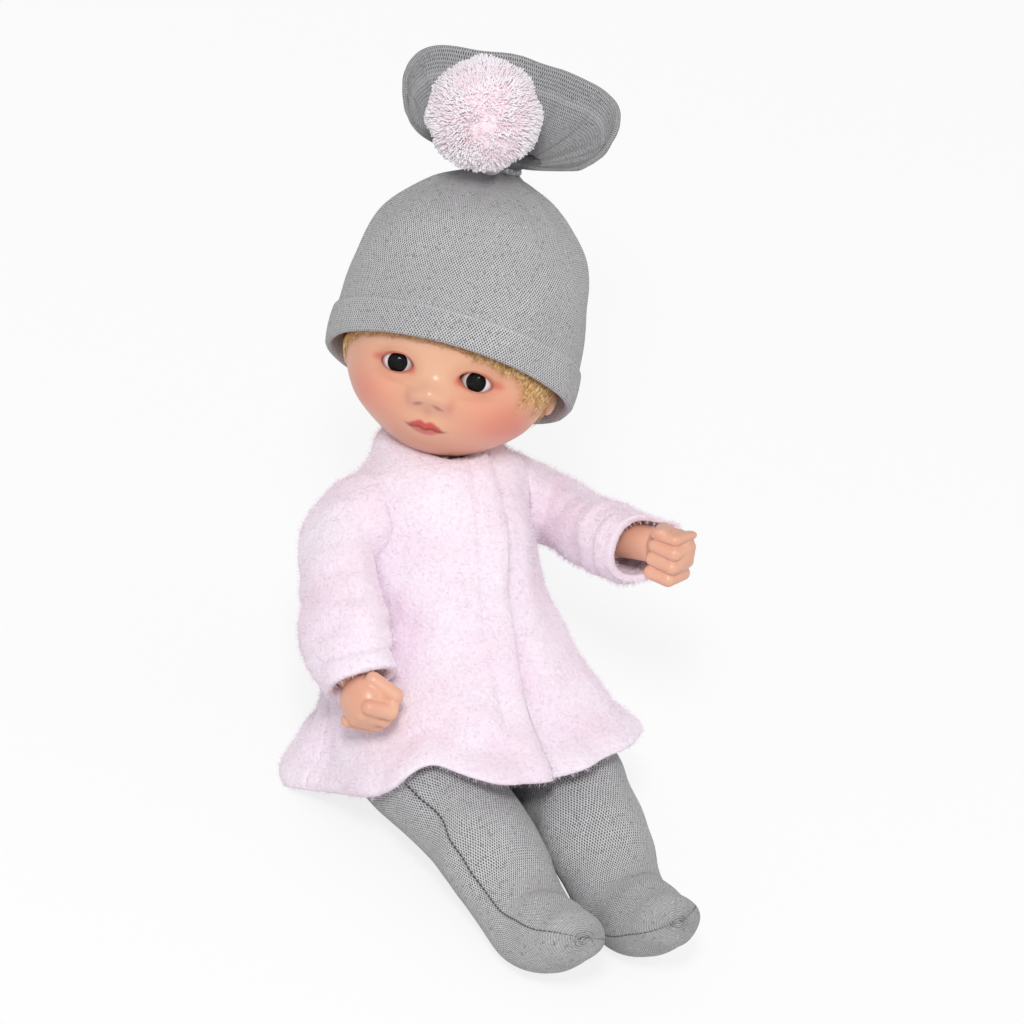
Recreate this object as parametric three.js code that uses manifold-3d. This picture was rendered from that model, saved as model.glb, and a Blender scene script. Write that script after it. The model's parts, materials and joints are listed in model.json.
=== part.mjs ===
import * as THREE from 'three';
import { mergeVertices } from 'three/addons/utils/BufferGeometryUtils.js';
import { LoftGeometry } from 'three/addons/geometries/LoftGeometry.js';
import Module from 'manifold-3d';

// A dressed vinyl baby doll that sits on a flat surface. Millimetres.
// Every piece is drawn in the doll's upright frame: the hip axis is at z = 0, the face looks
// along -Y and the doll's left is +X. The whole doll is then leaned back to sit.

// Pose of the doll as it sits
const SIT_RECLINE = 31;
const SEAT_HEIGHT = 15;
const HEAD_TURN = -43;
const HEAD_NOD = 2;
const ARM_LIFT = { right: 22, left: 68 };
const LEG_LIFT = 52.5;

// Body
const TORSO_HALF_WIDTH = 22.5;
const TORSO_WALL = 2.2;
const SHOULDER_HEIGHT = 56;
const SHOULDER_SEAT = 19;
const SHOULDER_DISC = 8.6;
const HIP_SEAT = 9.4;
const HIP_DISC = 10.5;
const HIP_RELIEF = 18.2;
const NECK_POINT = new THREE.Vector3(0, -1, 73);
const NECK_TILT = 25;
const NECK_RADIUS = 7;
const NECK_FLANGE = 9;
const NECK_LENGTH = 7.2;
const PLUG_RADIUS = 4.6;
const PLUG_FLANGE = 6;
const FLANGE_THICKNESS = 1.4;
const FIT_GAP = 0.35;
const NECK_PLAY = 0.6;

// Head
const HEAD_HALF_WIDTH = 27;
const HEAD_HALF_DEPTH = 29;
const HEAD_HALF_HEIGHT = 30;
const HEAD_WALL = 3;
const HEAD_LIFT = 28;
const HEAD_BACK = 4;
const EYE_SPREAD = 10;
const EYE_HEIGHT = -7.6;
const EYE_RADIUS = 4.8;
const EYE_OPENING = { width: 3.9, height: 2.6 };
const IRIS_RADIUS = 2.45;

// Hair and hat
const HAIR_THICKNESS = 0.9;
const HAIR_GAP = 0.9;
const HAIR_SHOWING = 1.2;
const HAT_CLOTH = 1.6;
const BRIM_BAND = 9;
const BRIM_TURNUP = 1;
const BRIM_HEIGHT = -10;
const BRIM_SLOPE = 19;
const HAT_TIE_HEIGHT = 43;
const HAT_TIE_RADIUS = 4.4;
const FRILL_RADIUS = 27.5;
const FRILL_DEPTH = 11;
const FRILL_FRONT_DEPTH = 5;
const FRILL_LENGTH = 30;
const FRILL_FRONT = 12;
const POMPOM_RADIUS = 14;

// Clothes
const FLEECE = 2.4;
const KNIT = 1.5;
const JACKET_LENGTH = 11;
const COLLAR_DROP = 2.2;
const CLOSURE_GAP = 0.35;
const CLOSURE_STRIP = 0.6;
const SLEEVE_SEAT = 23.2;
const SLEEVE_LENGTH = 42;
const LEG_SPREAD = 17.8;
const LEG_DRAWN_IN = 4;
const LEG_LENGTH = 90;

// Facets round a limb, a garment and a hidden inner wall
const SIDES = 14;
const WIDE_SIDES = 24;
const HIDDEN_SIDES = 10;

// Reach of the cutting blocks past the doll, sideways and upward
const FAR = 80;
const TOP = 120;

const DEG = Math.PI / 180;
const wasm = await Module();
wasm.setup();

// Shape tools

function toSolid(geometry) {
  const bare = new THREE.BufferGeometry();
  bare.setAttribute('position', geometry.attributes.position);
  bare.setIndex(geometry.index);
  const merged = mergeVertices(bare, 1e-4);
  return new wasm.Manifold(new wasm.Mesh({
    numProp: 3,
    vertProperties: new Float32Array(merged.attributes.position.array),
    triVerts: new Uint32Array(merged.index.array)
  }));
}

function toGeometry(solid) {
  const mesh = solid.getMesh();
  const geometry = new THREE.BufferGeometry();
  geometry.setAttribute('position', new THREE.BufferAttribute(mesh.vertProperties, 3));
  geometry.setIndex(new THREE.BufferAttribute(mesh.triVerts, 1));
  geometry.computeVertexNormals();
  return geometry;
}

// Smooth values between the rows of a table of section sizes
function between(rows, steps) {
  const curves = [];
  for (let first = 0; first < rows[0].length; first += 3) {
    const points = rows.map((row) => new THREE.Vector3(row[first], row[first + 1] ?? 0, row[first + 2] ?? 0));
    curves.push(new THREE.CatmullRomCurve3(points, false, 'catmullrom', 0.5));
  }
  const result = [];
  for (let i = 0; i <= steps; i += 1) {
    const values = [];
    for (const curve of curves) values.push(...curve.getPoint(i / steps).toArray());
    result.push(values);
  }
  return result;
}

// A form of level rings. A row is height, half-width in front and behind, depth in front and
// behind, and how square the front is. The ends can run straight on for a distance.
function trunk(rows, steps, sides, grow = 0, runOn = 0) {
  const sections = between(rows, steps).map(([z, wideFront, wideBack, front, back, square]) => {
    const ring = [];
    for (let i = 0; i < sides; i += 1) {
      const turn = (i / sides) * 2 * Math.PI;
      const toBack = THREE.MathUtils.smoothstep(Math.sin(turn), -0.15, 0.55);
      const wide = THREE.MathUtils.lerp(wideFront, wideBack, toBack) + grow;
      const deep = (Math.sin(turn) > 0 ? back : front) + grow;
      const power = Math.sin(turn) > 0 ? 1 : 1 / (1 + square);
      const across = Math.sign(Math.cos(turn)) * Math.abs(Math.cos(turn)) ** power;
      const along = Math.sign(Math.sin(turn)) * Math.abs(Math.sin(turn)) ** power;
      ring.push(new THREE.Vector3(wide * across, deep * along, z));
    }
    return ring;
  });
  if (runOn > 0) {
    const shifted = (ring, by) => ring.map((point) => point.clone().add(new THREE.Vector3(0, 0, by)));
    sections.unshift(shifted(sections[0], -runOn));
    sections.push(shifted(sections.at(-1), runOn));
  }
  return toSolid(new LoftGeometry(sections, { capStart: true, capEnd: true }));
}

// A limb along a bent path with round ends. A row is x, y, z, half-width and half-depth.
function limb(rows, steps, sides, grow = 0, dome = 1) {
  const path = between(rows, steps);
  const centre = path.map((row) => new THREE.Vector3(row[0], row[1], row[2]));
  const sections = [];
  const addRing = (at, along, wide, deep) => {
    const across = new THREE.Vector3(1, 0, 0).addScaledVector(along, -along.x).normalize();
    const up = new THREE.Vector3().crossVectors(along, across);
    const ring = [];
    for (let i = 0; i < sides; i += 1) {
      const turn = (i / sides) * 2 * Math.PI;
      const sideways = across.clone().multiplyScalar(wide * Math.cos(turn));
      ring.push(at.clone().add(sideways).addScaledVector(up, deep * Math.sin(turn)));
    }
    sections.push(ring);
  };
  const domeSteps = [0.96, 0.75, 0.4];
  path.forEach((row, i) => {
    const ahead = centre[Math.min(i + 1, steps)];
    const behind = centre[Math.max(i - 1, 0)];
    const along = ahead.clone().sub(behind).normalize();
    const wide = row[3] + grow;
    const deep = row[4] + grow;
    const reach = dome * Math.min(wide, deep);
    if (i === 0) {
      for (const s of domeSteps) {
        const c = Math.sqrt(1 - s * s);
        addRing(centre[0].clone().addScaledVector(along, -reach * s), along, wide * c, deep * c);
      }
    }
    addRing(centre[i], along, wide, deep);
    if (i === steps) {
      for (const s of [...domeSteps].reverse()) {
        const c = Math.sqrt(1 - s * s);
        addRing(centre[i].clone().addScaledVector(along, reach * s), along, wide * c, deep * c);
      }
    }
  });
  return toSolid(new LoftGeometry(sections, { capStart: true, capEnd: true }));
}

function block(x0, x1, y0, y1, z0, z1) {
  const geometry = new THREE.BoxGeometry(x1 - x0, y1 - y0, z1 - z0);
  geometry.translate((x0 + x1) / 2, (y0 + y1) / 2, (z0 + z1) / 2);
  return toSolid(geometry);
}

// The half of space on the far side of a plane, as a big block
function beyond(point, normal) {
  const size = 400;
  const geometry = new THREE.BoxGeometry(size, size, size);
  geometry.translate(0, 0, size / 2);
  const upright = new THREE.Vector3(0, 0, 1);
  const turn = new THREE.Quaternion().setFromUnitVectors(upright, normal.clone().normalize());
  geometry.applyQuaternion(turn);
  geometry.translate(point.x, point.y, point.z);
  return toSolid(geometry);
}

// A revolved solid on the X axis, from [distance along x, radius] pairs, at a height and side
function turned(pairs, height, sides = SIDES) {
  const profile = pairs.map(([along, radius]) => new THREE.Vector2(radius, along));
  const geometry = new THREE.LatheGeometry(profile, sides);
  geometry.rotateZ(-Math.PI / 2);
  geometry.translate(0, 0, height);
  return toSolid(geometry);
}

function drum(x0, x1, radius, height, sides = SIDES) {
  return turned([[x0, 0], [x0, radius], [x1, radius], [x1, 0]], height, sides);
}

function moved(solid, matrix) {
  const geometry = toGeometry(solid).applyMatrix4(matrix);
  const corners = geometry.index.array;
  if (matrix.determinant() < 0) {
    for (let i = 0; i < corners.length; i += 3) [corners[i], corners[i + 1]] = [corners[i + 1], corners[i]];
  }
  return new wasm.Manifold(new wasm.Mesh({
    numProp: 3,
    vertProperties: geometry.attributes.position.array,
    triVerts: corners
  }));
}

function mirrored(solid) {
  return moved(solid, new THREE.Matrix4().makeScale(-1, 1, 1));
}

// What lies under the surface the doll sits on, in the frame of a piece that leans this far
function underFloor(lean) {
  const down = new THREE.Vector3(0, Math.sin(lean * DEG), -Math.cos(lean * DEG));
  return beyond(down.clone().multiplyScalar(SEAT_HEIGHT), down);
}

function material(color, roughness) {
  return new THREE.MeshStandardMaterial({ color, roughness, metalness: 0 });
}

const vinyl = () => material(0xe9a283, 0.42);
const fleece = () => material(0xf6dfe8, 0.95);
const knit = () => material(0x9d9da1, 0.95);
const yarn = () => material(0xf8e6ee, 0.95);
const eyeWhite = () => material(0xf2eeea, 0.2);
const eyeDark = () => material(0x15161a, 0.15);
const eyeClear = () => material(0xdfe8ee, 0.05);
const blond = () => material(0xd9b274, 0.6);

function piece(name, solid, finish) {
  const mesh = new THREE.Mesh(toGeometry(solid), finish);
  mesh.name = name;
  return mesh;
}

// Neck axis: it leans forward, and the head turns about it

const neckUp = new THREE.Vector3(0, -Math.sin(NECK_TILT * DEG), Math.cos(NECK_TILT * DEG));

function onNeck(height) {
  return NECK_POINT.clone().addScaledVector(neckUp, height);
}

function neckDrum(from, to, radius) {
  const profile = [[0, from], [radius, from], [radius, to], [0, to]].map(([r, h]) => new THREE.Vector2(r, h));
  const geometry = new THREE.LatheGeometry(profile, 18);
  geometry.rotateX(Math.PI / 2 + NECK_TILT * DEG);
  geometry.translate(NECK_POINT.x, NECK_POINT.y, NECK_POINT.z);
  return toSolid(geometry);
}

// Torso: a hollow vinyl shell with a flanged neck stub, two arm holes and two leg holes

const torsoRows = [
  [-11, 8, 8, 6.4, 7],
  [-6, 15, 15, 12, 14],
  [3, 20, 20, 15.5, 16],
  [15, TORSO_HALF_WIDTH, TORSO_HALF_WIDTH, 17, 14.5],
  [30, 21.5, 21.5, 16, 13],
  [44, 20.5, 20.5, 14, 12.5],
  [56, 20, 20, 12, 12],
  [64, 17.5, 17.5, 10.5, 11],
  [68.6, 10, 10, 7, 8]
];

function buildTorso() {
  let shell = trunk(torsoRows, 8, 16).add(neckDrum(-8, NECK_LENGTH, NECK_RADIUS));
  shell = shell.add(neckDrum(NECK_LENGTH - FLANGE_THICKNESS, NECK_LENGTH, NECK_FLANGE));
  let hollow = trunk(torsoRows, 8, HIDDEN_SIDES, -TORSO_WALL).subtract(beyond(onNeck(-6), neckUp));
  hollow = hollow.subtract(block(-60, 60, -60, 60, -60, -8.5));
  const shoulderKeep = SHOULDER_SEAT - TORSO_WALL;
  hollow = hollow.intersect(block(-shoulderKeep, shoulderKeep, -60, 60, -60, 90));
  const hipKeep = HIP_SEAT - TORSO_WALL;
  const hipWall = HIP_RELIEF + TORSO_WALL;
  for (const side of [-1, 1]) {
    const x0 = side > 0 ? SHOULDER_SEAT : -60;
    const x1 = side > 0 ? 60 : -SHOULDER_SEAT;
    shell = shell.subtract(drum(x0, x1, SHOULDER_DISC + 1, SHOULDER_HEIGHT));
    const h0 = side > 0 ? HIP_SEAT : -60;
    const h1 = side > 0 ? 60 : -HIP_SEAT;
    shell = shell.subtract(drum(h0, h1, HIP_RELIEF, 0, 18));
    const k0 = side > 0 ? hipKeep : -60;
    const k1 = side > 0 ? 60 : -hipKeep;
    hollow = hollow.subtract(drum(k0, k1, hipWall, 0));
  }
  hollow = hollow.add(drum(-shoulderKeep, shoulderKeep, PLUG_FLANGE + FIT_GAP, SHOULDER_HEIGHT));
  hollow = hollow.add(neckDrum(-12, NECK_LENGTH + 4, NECK_RADIUS - 2.4));
  const plugHole = PLUG_RADIUS + FIT_GAP;
  hollow = hollow.add(drum(-30, 30, plugHole, SHOULDER_HEIGHT));
  hollow = hollow.add(drum(-16, 16, plugHole, 0));
  return piece('torso_shell', shell.subtract(hollow), vinyl());
}

// A flanged plug on the shoulder or hip axis: it snaps through the hole in the torso wall
function plug(seat) {
  const inner = seat - TORSO_WALL - FIT_GAP;
  const outer = seat + 2;
  return turned([
    [inner - FLANGE_THICKNESS, 0],
    [inner - FLANGE_THICKNESS, PLUG_FLANGE - 0.8],
    [inner, PLUG_FLANGE],
    [inner, PLUG_RADIUS],
    [outer, PLUG_RADIUS],
    [outer, 0]
  ], 0);
}

// Arms: one-piece vinyl, drawn hanging straight down from the shoulder axis

const armRows = [
  [SLEEVE_SEAT + 4.2, 0, 0, 7.7, 8],
  [SLEEVE_SEAT + 9.8, -0.5, -9, 5.9, 7.2],
  [SLEEVE_SEAT + 10.6, -0.8, -17, 6.2, 6.8],
  [SLEEVE_SEAT + 11.8, -1.8, -25, 6.2, 6.4],
  [SLEEVE_SEAT + 13.6, -3.6, -32.5, 5.2, 5.6],
  [SLEEVE_SEAT + 14.8, -5.2, -39, 4.7, 5]
];
const FIST_AT = new THREE.Vector3(SLEEVE_SEAT + 15.4, -7.4, -47);

function capsule(from, to, radius) {
  const along = to.clone().sub(from);
  const geometry = new THREE.CapsuleGeometry(radius, along.length(), 2, 5, 1);
  const lengthwise = new THREE.Vector3(0, 1, 0);
  const turn = new THREE.Quaternion().setFromUnitVectors(lengthwise, along.clone().normalize());
  geometry.applyQuaternion(turn);
  const middle = from.clone().addScaledVector(along, 0.5);
  geometry.translate(middle.x, middle.y, middle.z);
  return toSolid(geometry);
}

// The fist: a round palm, four curled fingers side by side and a thumb laid over them
function fist() {
  const palmShape = new THREE.SphereGeometry(1, 8, 6);
  palmShape.scale(6.2, 7.4, 7.4);
  palmShape.translate(FIST_AT.x, FIST_AT.y, FIST_AT.z);
  let hand = toSolid(palmShape);
  for (let finger = 0; finger < 4; finger += 1) {
    const y = FIST_AT.y - 5.6 + finger * 3.7;
    const reach = finger === 0 || finger === 3 ? 0.7 : 0;
    const root = new THREE.Vector3(FIST_AT.x + 2.6, y, FIST_AT.z - 3.6 + reach);
    const knuckle = new THREE.Vector3(FIST_AT.x - 2.8, y, FIST_AT.z - 5.6 + reach);
    const tip = new THREE.Vector3(FIST_AT.x - 5, y, FIST_AT.z - 0.5);
    hand = hand.add(capsule(root, knuckle, 2.1));
    hand = hand.add(capsule(knuckle, tip, 2));
  }
  const thumbRoot = new THREE.Vector3(FIST_AT.x - 0.5, FIST_AT.y - 5.6, FIST_AT.z + 3.6);
  const thumbTip = new THREE.Vector3(FIST_AT.x - 4.8, FIST_AT.y - 6.6, FIST_AT.z - 1.2);
  return hand.add(capsule(thumbRoot, thumbTip, 2.2));
}

function buildArm() {
  let arm = limb(armRows, 6, HIDDEN_SIDES).add(fist());
  arm = arm.subtract(beyond(new THREE.Vector3(SHOULDER_SEAT + FIT_GAP, 0, 0), new THREE.Vector3(-1, 0, 0)));
  return arm.add(plug(SHOULDER_SEAT));
}

// Legs: one-piece vinyl with a slightly bent knee, drawn hanging down from the hip axis

// A row is the share of the draw-in, y, the share of the leg's length, half-width and half-depth
function legPath(rows) {
  return rows.map(([drawn, y, share, wide, deep]) => {
    return [LEG_SPREAD - LEG_DRAWN_IN * drawn, y, -share * LEG_LENGTH, wide, deep];
  });
}

const legRows = legPath([
  [0, 0, 0, 8.2, HIP_DISC],
  [0, -2.5, 0.144, 9.2, 10.4],
  [0.15, -5, 0.289, 9, 9.8],
  [0.4, -6, 0.433, 8.2, 8.8],
  [0.7, -4.6, 0.578, 8, 8.4],
  [0.9, -2.2, 0.7, 6.8, 7],
  [1, -2.2, 0.79, 7, 7.8],
  [1, -7, 0.867, 7.6, 7],
  [1, -11.5, 0.922, 6.8, 5]
]);

function buildLeg() {
  let leg = limb(legRows, 8, HIDDEN_SIDES);
  leg = leg.subtract(beyond(new THREE.Vector3(HIP_SEAT + FIT_GAP, 0, 0), new THREE.Vector3(-1, 0, 0)));
  return leg.add(plug(HIP_SEAT));
}

// Head: drawn about its own centre, the face along -Y

// Swellings and dents of the face: x, z, half-width, half-height, height of the relief
const faceRelief = [
  [0, -13.2, 4.2, 4, 4.4],
  [-3.4, -14.6, 2, 1.8, 1.3],
  [3.4, -14.6, 2, 1.8, 1.3],
  [0, -8, 3.6, 5, 1],
  [0, -21.6, 5.6, 2.4, 2.2],
  [0, -27.5, 6.5, 4, 2.6],
  [-EYE_SPREAD, EYE_HEIGHT, 6, 4.2, -1.3],
  [EYE_SPREAD, EYE_HEIGHT, 6, 4.2, -1.3],
  [-14, -17, 8.5, 8, 2.2],
  [14, -17, 8.5, 8, 2.2]
];

function headPoint(direction, grow) {
  const { x, y, z } = direction;
  const low = THREE.MathUtils.smoothstep(-z, -0.1, 0.75);
  const jowl = 1 + 0.045 * low - 0.1 * THREE.MathUtils.smoothstep(-z, 0.62, 1);
  const point = new THREE.Vector3(
    (HEAD_HALF_WIDTH + grow) * x * jowl,
    (HEAD_HALF_DEPTH + grow) * y * (y < 0 ? 0.94 : 1.03),
    (HEAD_HALF_HEIGHT + grow) * z
  );
  if (y < 0) {
    let relief = 0;
    for (const [fx, fz, wide, tall, height] of faceRelief) {
      const away = ((point.x - fx) / wide) ** 2 + ((point.z - fz) / tall) ** 2;
      relief += height * Math.exp(-away);
    }
    point.y -= relief * THREE.MathUtils.smoothstep(-y, 0, 0.5);
  }
  return point;
}

function headForm(grow, across = 28, down = 22, plain = false) {
  const geometry = new THREE.SphereGeometry(1, across, down);
  geometry.rotateX(Math.PI / 2);
  const at = geometry.attributes.position;
  const direction = new THREE.Vector3();
  for (let i = 0; i < at.count; i += 1) {
    direction.fromBufferAttribute(at, i);
    const point = headPoint(direction, grow);
    if (plain) point.y = Math.max(point.y, -(HEAD_HALF_DEPTH + grow) * 0.94);
    at.setXYZ(i, point.x, point.y, point.z);
  }
  return toSolid(geometry);
}

const eyeAt = new THREE.Vector3(EYE_SPREAD, -HEAD_HALF_DEPTH * 0.94 + 7.6, EYE_HEIGHT);

function eyeTurned(pairs, side) {
  const profile = pairs.map(([radius, along]) => new THREE.Vector2(radius, along)).reverse();
  const geometry = new THREE.LatheGeometry(profile, 12);
  geometry.rotateX(Math.PI);
  geometry.translate(side * eyeAt.x, eyeAt.y, eyeAt.z);
  return toSolid(geometry);
}

function arc(radius, from, to, steps) {
  const pairs = [];
  for (let i = 0; i <= steps; i += 1) {
    const turn = (from + ((to - from) * i) / steps) * DEG;
    pairs.push([radius * Math.sin(turn), radius * Math.cos(turn)]);
  }
  return pairs;
}

const irisSeat = 3.7;

function buildHead() {
  let head = headForm(0);
  const ears = [];
  for (const side of [-1, 1]) {
    const ear = new THREE.SphereGeometry(1, 10, 8);
    ear.scale(1.9, 3.4, 5);
    ear.translate(side * (HEAD_HALF_WIDTH - 0.9), 3, -11);
    ears.push(toSolid(ear));
  }
  head = head.add(ears[0]).add(ears[1]);
  const hollow = headForm(-HEAD_WALL, 12, 8, true);
  const neckHole = new THREE.LatheGeometry([
    new THREE.Vector2(0, 0),
    new THREE.Vector2(NECK_RADIUS + NECK_PLAY, 0),
    new THREE.Vector2(NECK_RADIUS + NECK_PLAY, 20),
    new THREE.Vector2(0, 20)
  ], 24);
  neckHole.rotateX(Math.PI / 2);
  neckHole.translate(0, -HEAD_BACK, -HEAD_LIFT - 10);
  neckHole.rotateX((NECK_TILT - HEAD_NOD) * DEG);
  head = head.subtract(hollow).subtract(toSolid(neckHole));
  for (const side of [-1, 1]) {
    const socket = new THREE.SphereGeometry(EYE_RADIUS + FIT_GAP, 12, 8);
    socket.translate(side * eyeAt.x, eyeAt.y, eyeAt.z);
    const lids = new THREE.SphereGeometry(1, 16, 10);
    lids.scale(EYE_OPENING.width, 9, EYE_OPENING.height);
    lids.translate(side * eyeAt.x, eyeAt.y - 5, eyeAt.z);
    head = head.subtract(toSolid(socket)).subtract(toSolid(lids));
  }
  return piece('head_shell', head, vinyl());
}

function buildEye(name, side) {
  const ball = eyeTurned([
    [0, irisSeat],
    [IRIS_RADIUS + 0.3, irisSeat],
    ...arc(EYE_RADIUS, 38, 180, 6)
  ], side);
  const iris = eyeTurned([
    [0, irisSeat + 0.25],
    [0, irisSeat + 0.6],
    [IRIS_RADIUS, irisSeat + 0.5],
    [IRIS_RADIUS, irisSeat + 0.25],
    [0, irisSeat + 0.25]
  ], side);
  const dome = eyeTurned([
    [0, irisSeat + 0.85],
    [0, EYE_RADIUS + 0.3],
    [IRIS_RADIUS * 0.6, EYE_RADIUS + 0.08],
    [IRIS_RADIUS, irisSeat + 0.95],
    [IRIS_RADIUS, irisSeat + 0.75],
    [0, irisSeat + 0.85]
  ], side);
  return [
    piece(`eye_ball_${name}`, ball, eyeWhite()),
    piece(`iris_${name}`, iris, eyeDark()),
    piece(`cornea_${name}`, dome, eyeClear())
  ];
}

// Hair: a thin cap on the skull, ending just under the brim

function brimPlane(drop) {
  const slope = BRIM_SLOPE * DEG;
  const normal = new THREE.Vector3(0, Math.sin(slope), Math.cos(slope));
  return beyond(new THREE.Vector3(0, 0, BRIM_HEIGHT - drop), normal);
}

function buildHair() {
  const outer = headForm(HAIR_GAP + HAIR_THICKNESS, 16, 12, true);
  const inner = headForm(HAIR_GAP, 16, 12, true);
  let cap = outer.subtract(inner).intersect(brimPlane(HAIR_SHOWING)).subtract(hatCloth());
  for (const side of [-1, 1]) {
    const ear = new THREE.SphereGeometry(1, 10, 8);
    ear.scale(3.4, 4.4, 6);
    ear.translate(side * (HEAD_HALF_WIDTH - 0.9), 3, -11);
    cap = cap.subtract(toSolid(ear));
  }
  return piece('hair', cap, blond());
}

// Hat: one tube of knit, turned up at the brim, gathered by a thread and flaring open above it.
// A row is height, how far the knit lies outside the head's half-width and half-depth, backward
// shift, and slope of the ring. Near the tie the rows are a plain half-width and half-depth.

const overHead = [
  [BRIM_HEIGHT, 4, 4, 0.8, BRIM_SLOPE],
  [BRIM_HEIGHT + 6, 4.2, 4.2, 0.7, BRIM_SLOPE - 2],
  [2, 3.8, 3.8, 0.6, 14],
  [12, 3, 2.2, 0.5, 9],
  [22, 0.6, -0.2, 0.4, 5],
  [31, -4.4, -5.4, 0.2, 2],
  [37.5, -12.5, -14, 0, 0]
];
const atTie = [
  [HAT_TIE_HEIGHT - 1.6, HAT_TIE_RADIUS + 1.8, HAT_TIE_RADIUS + 1.8, 0, 0],
  [HAT_TIE_HEIGHT, HAT_TIE_RADIUS, HAT_TIE_RADIUS, 0, 0]
];
const hatRows = overHead.map(([height, wider, deeper, back, slope]) => (
  [height, HEAD_HALF_WIDTH + wider, HEAD_HALF_DEPTH + deeper, back, slope]
)).concat(atTie);

function hatRing([height, wide, deep, back, slope], grow, sides, folds) {
  const ring = [];
  for (let i = 0; i < sides; i += 1) {
    const turn = (i / sides) * 2 * Math.PI;
    const gather = 1 + folds * Math.cos(turn * 9);
    const x = (wide + grow) * gather * Math.cos(turn);
    const y = (deep + grow) * gather * Math.sin(turn);
    ring.push(new THREE.Vector3(x, y + back, height - y * Math.tan(slope * DEG)));
  }
  return ring;
}

// The flared end opens forward like a fan: its back wall stands higher than its front lip
function frillRing(t, grow, sides) {
  const ring = [];
  const spread = Math.sin(t * 1.5) ** 0.8;
  const wide = THREE.MathUtils.lerp(HAT_TIE_RADIUS, FRILL_RADIUS, spread) + grow;
  const deep = THREE.MathUtils.lerp(HAT_TIE_RADIUS, FRILL_DEPTH, spread) + grow;
  const deepFront = THREE.MathUtils.lerp(HAT_TIE_RADIUS, FRILL_FRONT_DEPTH, spread) + grow;
  for (let i = 0; i < sides; i += 1) {
    const turn = (i / sides) * 2 * Math.PI;
    const back = Math.sin(turn);
    const wave = t * t * Math.sin(turn * 4 + 0.6);
    const wall = THREE.MathUtils.lerp(FRILL_FRONT, FRILL_LENGTH, (1 + back) / 2);
    ring.push(new THREE.Vector3(
      wide * Math.cos(turn) + wave * 0.8,
      (back > 0 ? deep : deepFront) * back + wave * 0.8,
      HAT_TIE_HEIGHT + 1.2 + wall * t * (1 - 0.14 * Math.cos(turn) ** 2) - grow * 0.5
    ));
  }
  return ring;
}

const HAT_SIDES = 20;
const hatSections = between(hatRows, 9);

// The outside of the hat up to its tie, and the room inside its cloth
function hatBody(grow) {
  const outside = hatSections.map((row, i) => hatRing(row, grow, HAT_SIDES, i > 7 ? 0.04 : 0));
  return toSolid(new LoftGeometry(outside, { capStart: true, capEnd: true }));
}

function hatRoom(less) {
  const rows = hatSections.filter((row) => row[0] < HAT_TIE_HEIGHT - 4);
  const inside = rows.map((row) => hatRing(row, -HAT_CLOTH - less, HAT_SIDES, 0));
  inside.unshift(hatRing([BRIM_HEIGHT - 4, ...hatSections[0].slice(1)], -HAT_CLOTH - less, HAT_SIDES, 0));
  return toSolid(new LoftGeometry(inside, { capStart: true, capEnd: true }));
}

// The hat's cloth with a clearance on both faces
function hatCloth() {
  return hatBody(FIT_GAP).subtract(hatRoom(FIT_GAP));
}

function buildHat() {
  const body = hatBody(0);
  const hollow = hatRoom(0);
  const bandRows = [0, 0.12, 0.5, 0.88, 1].map((t) => {
    const row = [...hatSections[0]];
    row[0] = BRIM_HEIGHT + BRIM_BAND * t;
    row[4] = BRIM_SLOPE - 3 * t;
    return hatRing(row, BRIM_TURNUP * Math.min(1, 0.35 + 8 * t * (1 - t)), HAT_SIDES, 0);
  });
  const band = toSolid(new LoftGeometry(bandRows, { capStart: true, capEnd: true }));
  const stem = [-1.4, 0, 1.4].map((rise) => {
    const row = [HAT_TIE_HEIGHT + rise, HAT_TIE_RADIUS, HAT_TIE_RADIUS, 0, 0];
    return hatRing(row, 0, HAT_SIDES, 0.05);
  });
  const core = toSolid(new LoftGeometry(stem, { capStart: true, capEnd: true }));
  const flare = [];
  const cup = [];
  const rings = 5;
  for (let i = 0; i <= rings; i += 1) {
    flare.push(frillRing(i / rings, 0, HAT_SIDES));
    if (i > 1) cup.push(frillRing(i / rings, -HAT_CLOTH, HAT_SIDES));
  }
  cup.push(cup.at(-1).map((point) => point.clone().add(new THREE.Vector3(0, 0, HAT_CLOTH * 3))));
  const frill = toSolid(new LoftGeometry(flare, { capStart: true, capEnd: true }))
    .subtract(toSolid(new LoftGeometry(cup, { capStart: true, capEnd: true })));
  const besidePompom = new THREE.SphereGeometry(POMPOM_RADIUS + 4 * FIT_GAP, 12, 8);
  besidePompom.translate(pompomAt.x, pompomAt.y, pompomAt.z);
  const hat = body.add(band).subtract(hollow).add(core).add(frill).subtract(toSolid(besidePompom));
  return piece('hat', hat, knit());
}

function buildHatTie() {
  const tie = new THREE.TorusGeometry(HAT_TIE_RADIUS * 1.06 + FIT_GAP + 0.5, 0.5, 5, 16);
  tie.translate(0, 0, HAT_TIE_HEIGHT);
  return piece('hat_tie', toSolid(tie), knit());
}

const pompomAt = new THREE.Vector3(-2, -POMPOM_RADIUS - 4.6, HAT_TIE_HEIGHT + POMPOM_RADIUS + 1);

function buildPompom() {
  const geometry = new THREE.SphereGeometry(POMPOM_RADIUS, 18, 12);
  const at = geometry.attributes.position;
  const point = new THREE.Vector3();
  for (let i = 0; i < at.count; i += 1) {
    point.fromBufferAttribute(at, i);
    const lump = 0.35 * Math.sin(point.x * 0.9 + 1) * Math.cos(point.y * 0.8) * Math.sin(point.z * 0.7 + 2);
    point.multiplyScalar(1 + lump / POMPOM_RADIUS);
    at.setXYZ(i, point.x, point.y, point.z);
  }
  geometry.translate(pompomAt.x, pompomAt.y, pompomAt.z);
  const tie = capsule(bindingStart, bindingEnd, 1 + FIT_GAP);
  return piece('pompom', toSolid(geometry).subtract(tie), yarn());
}

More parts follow.
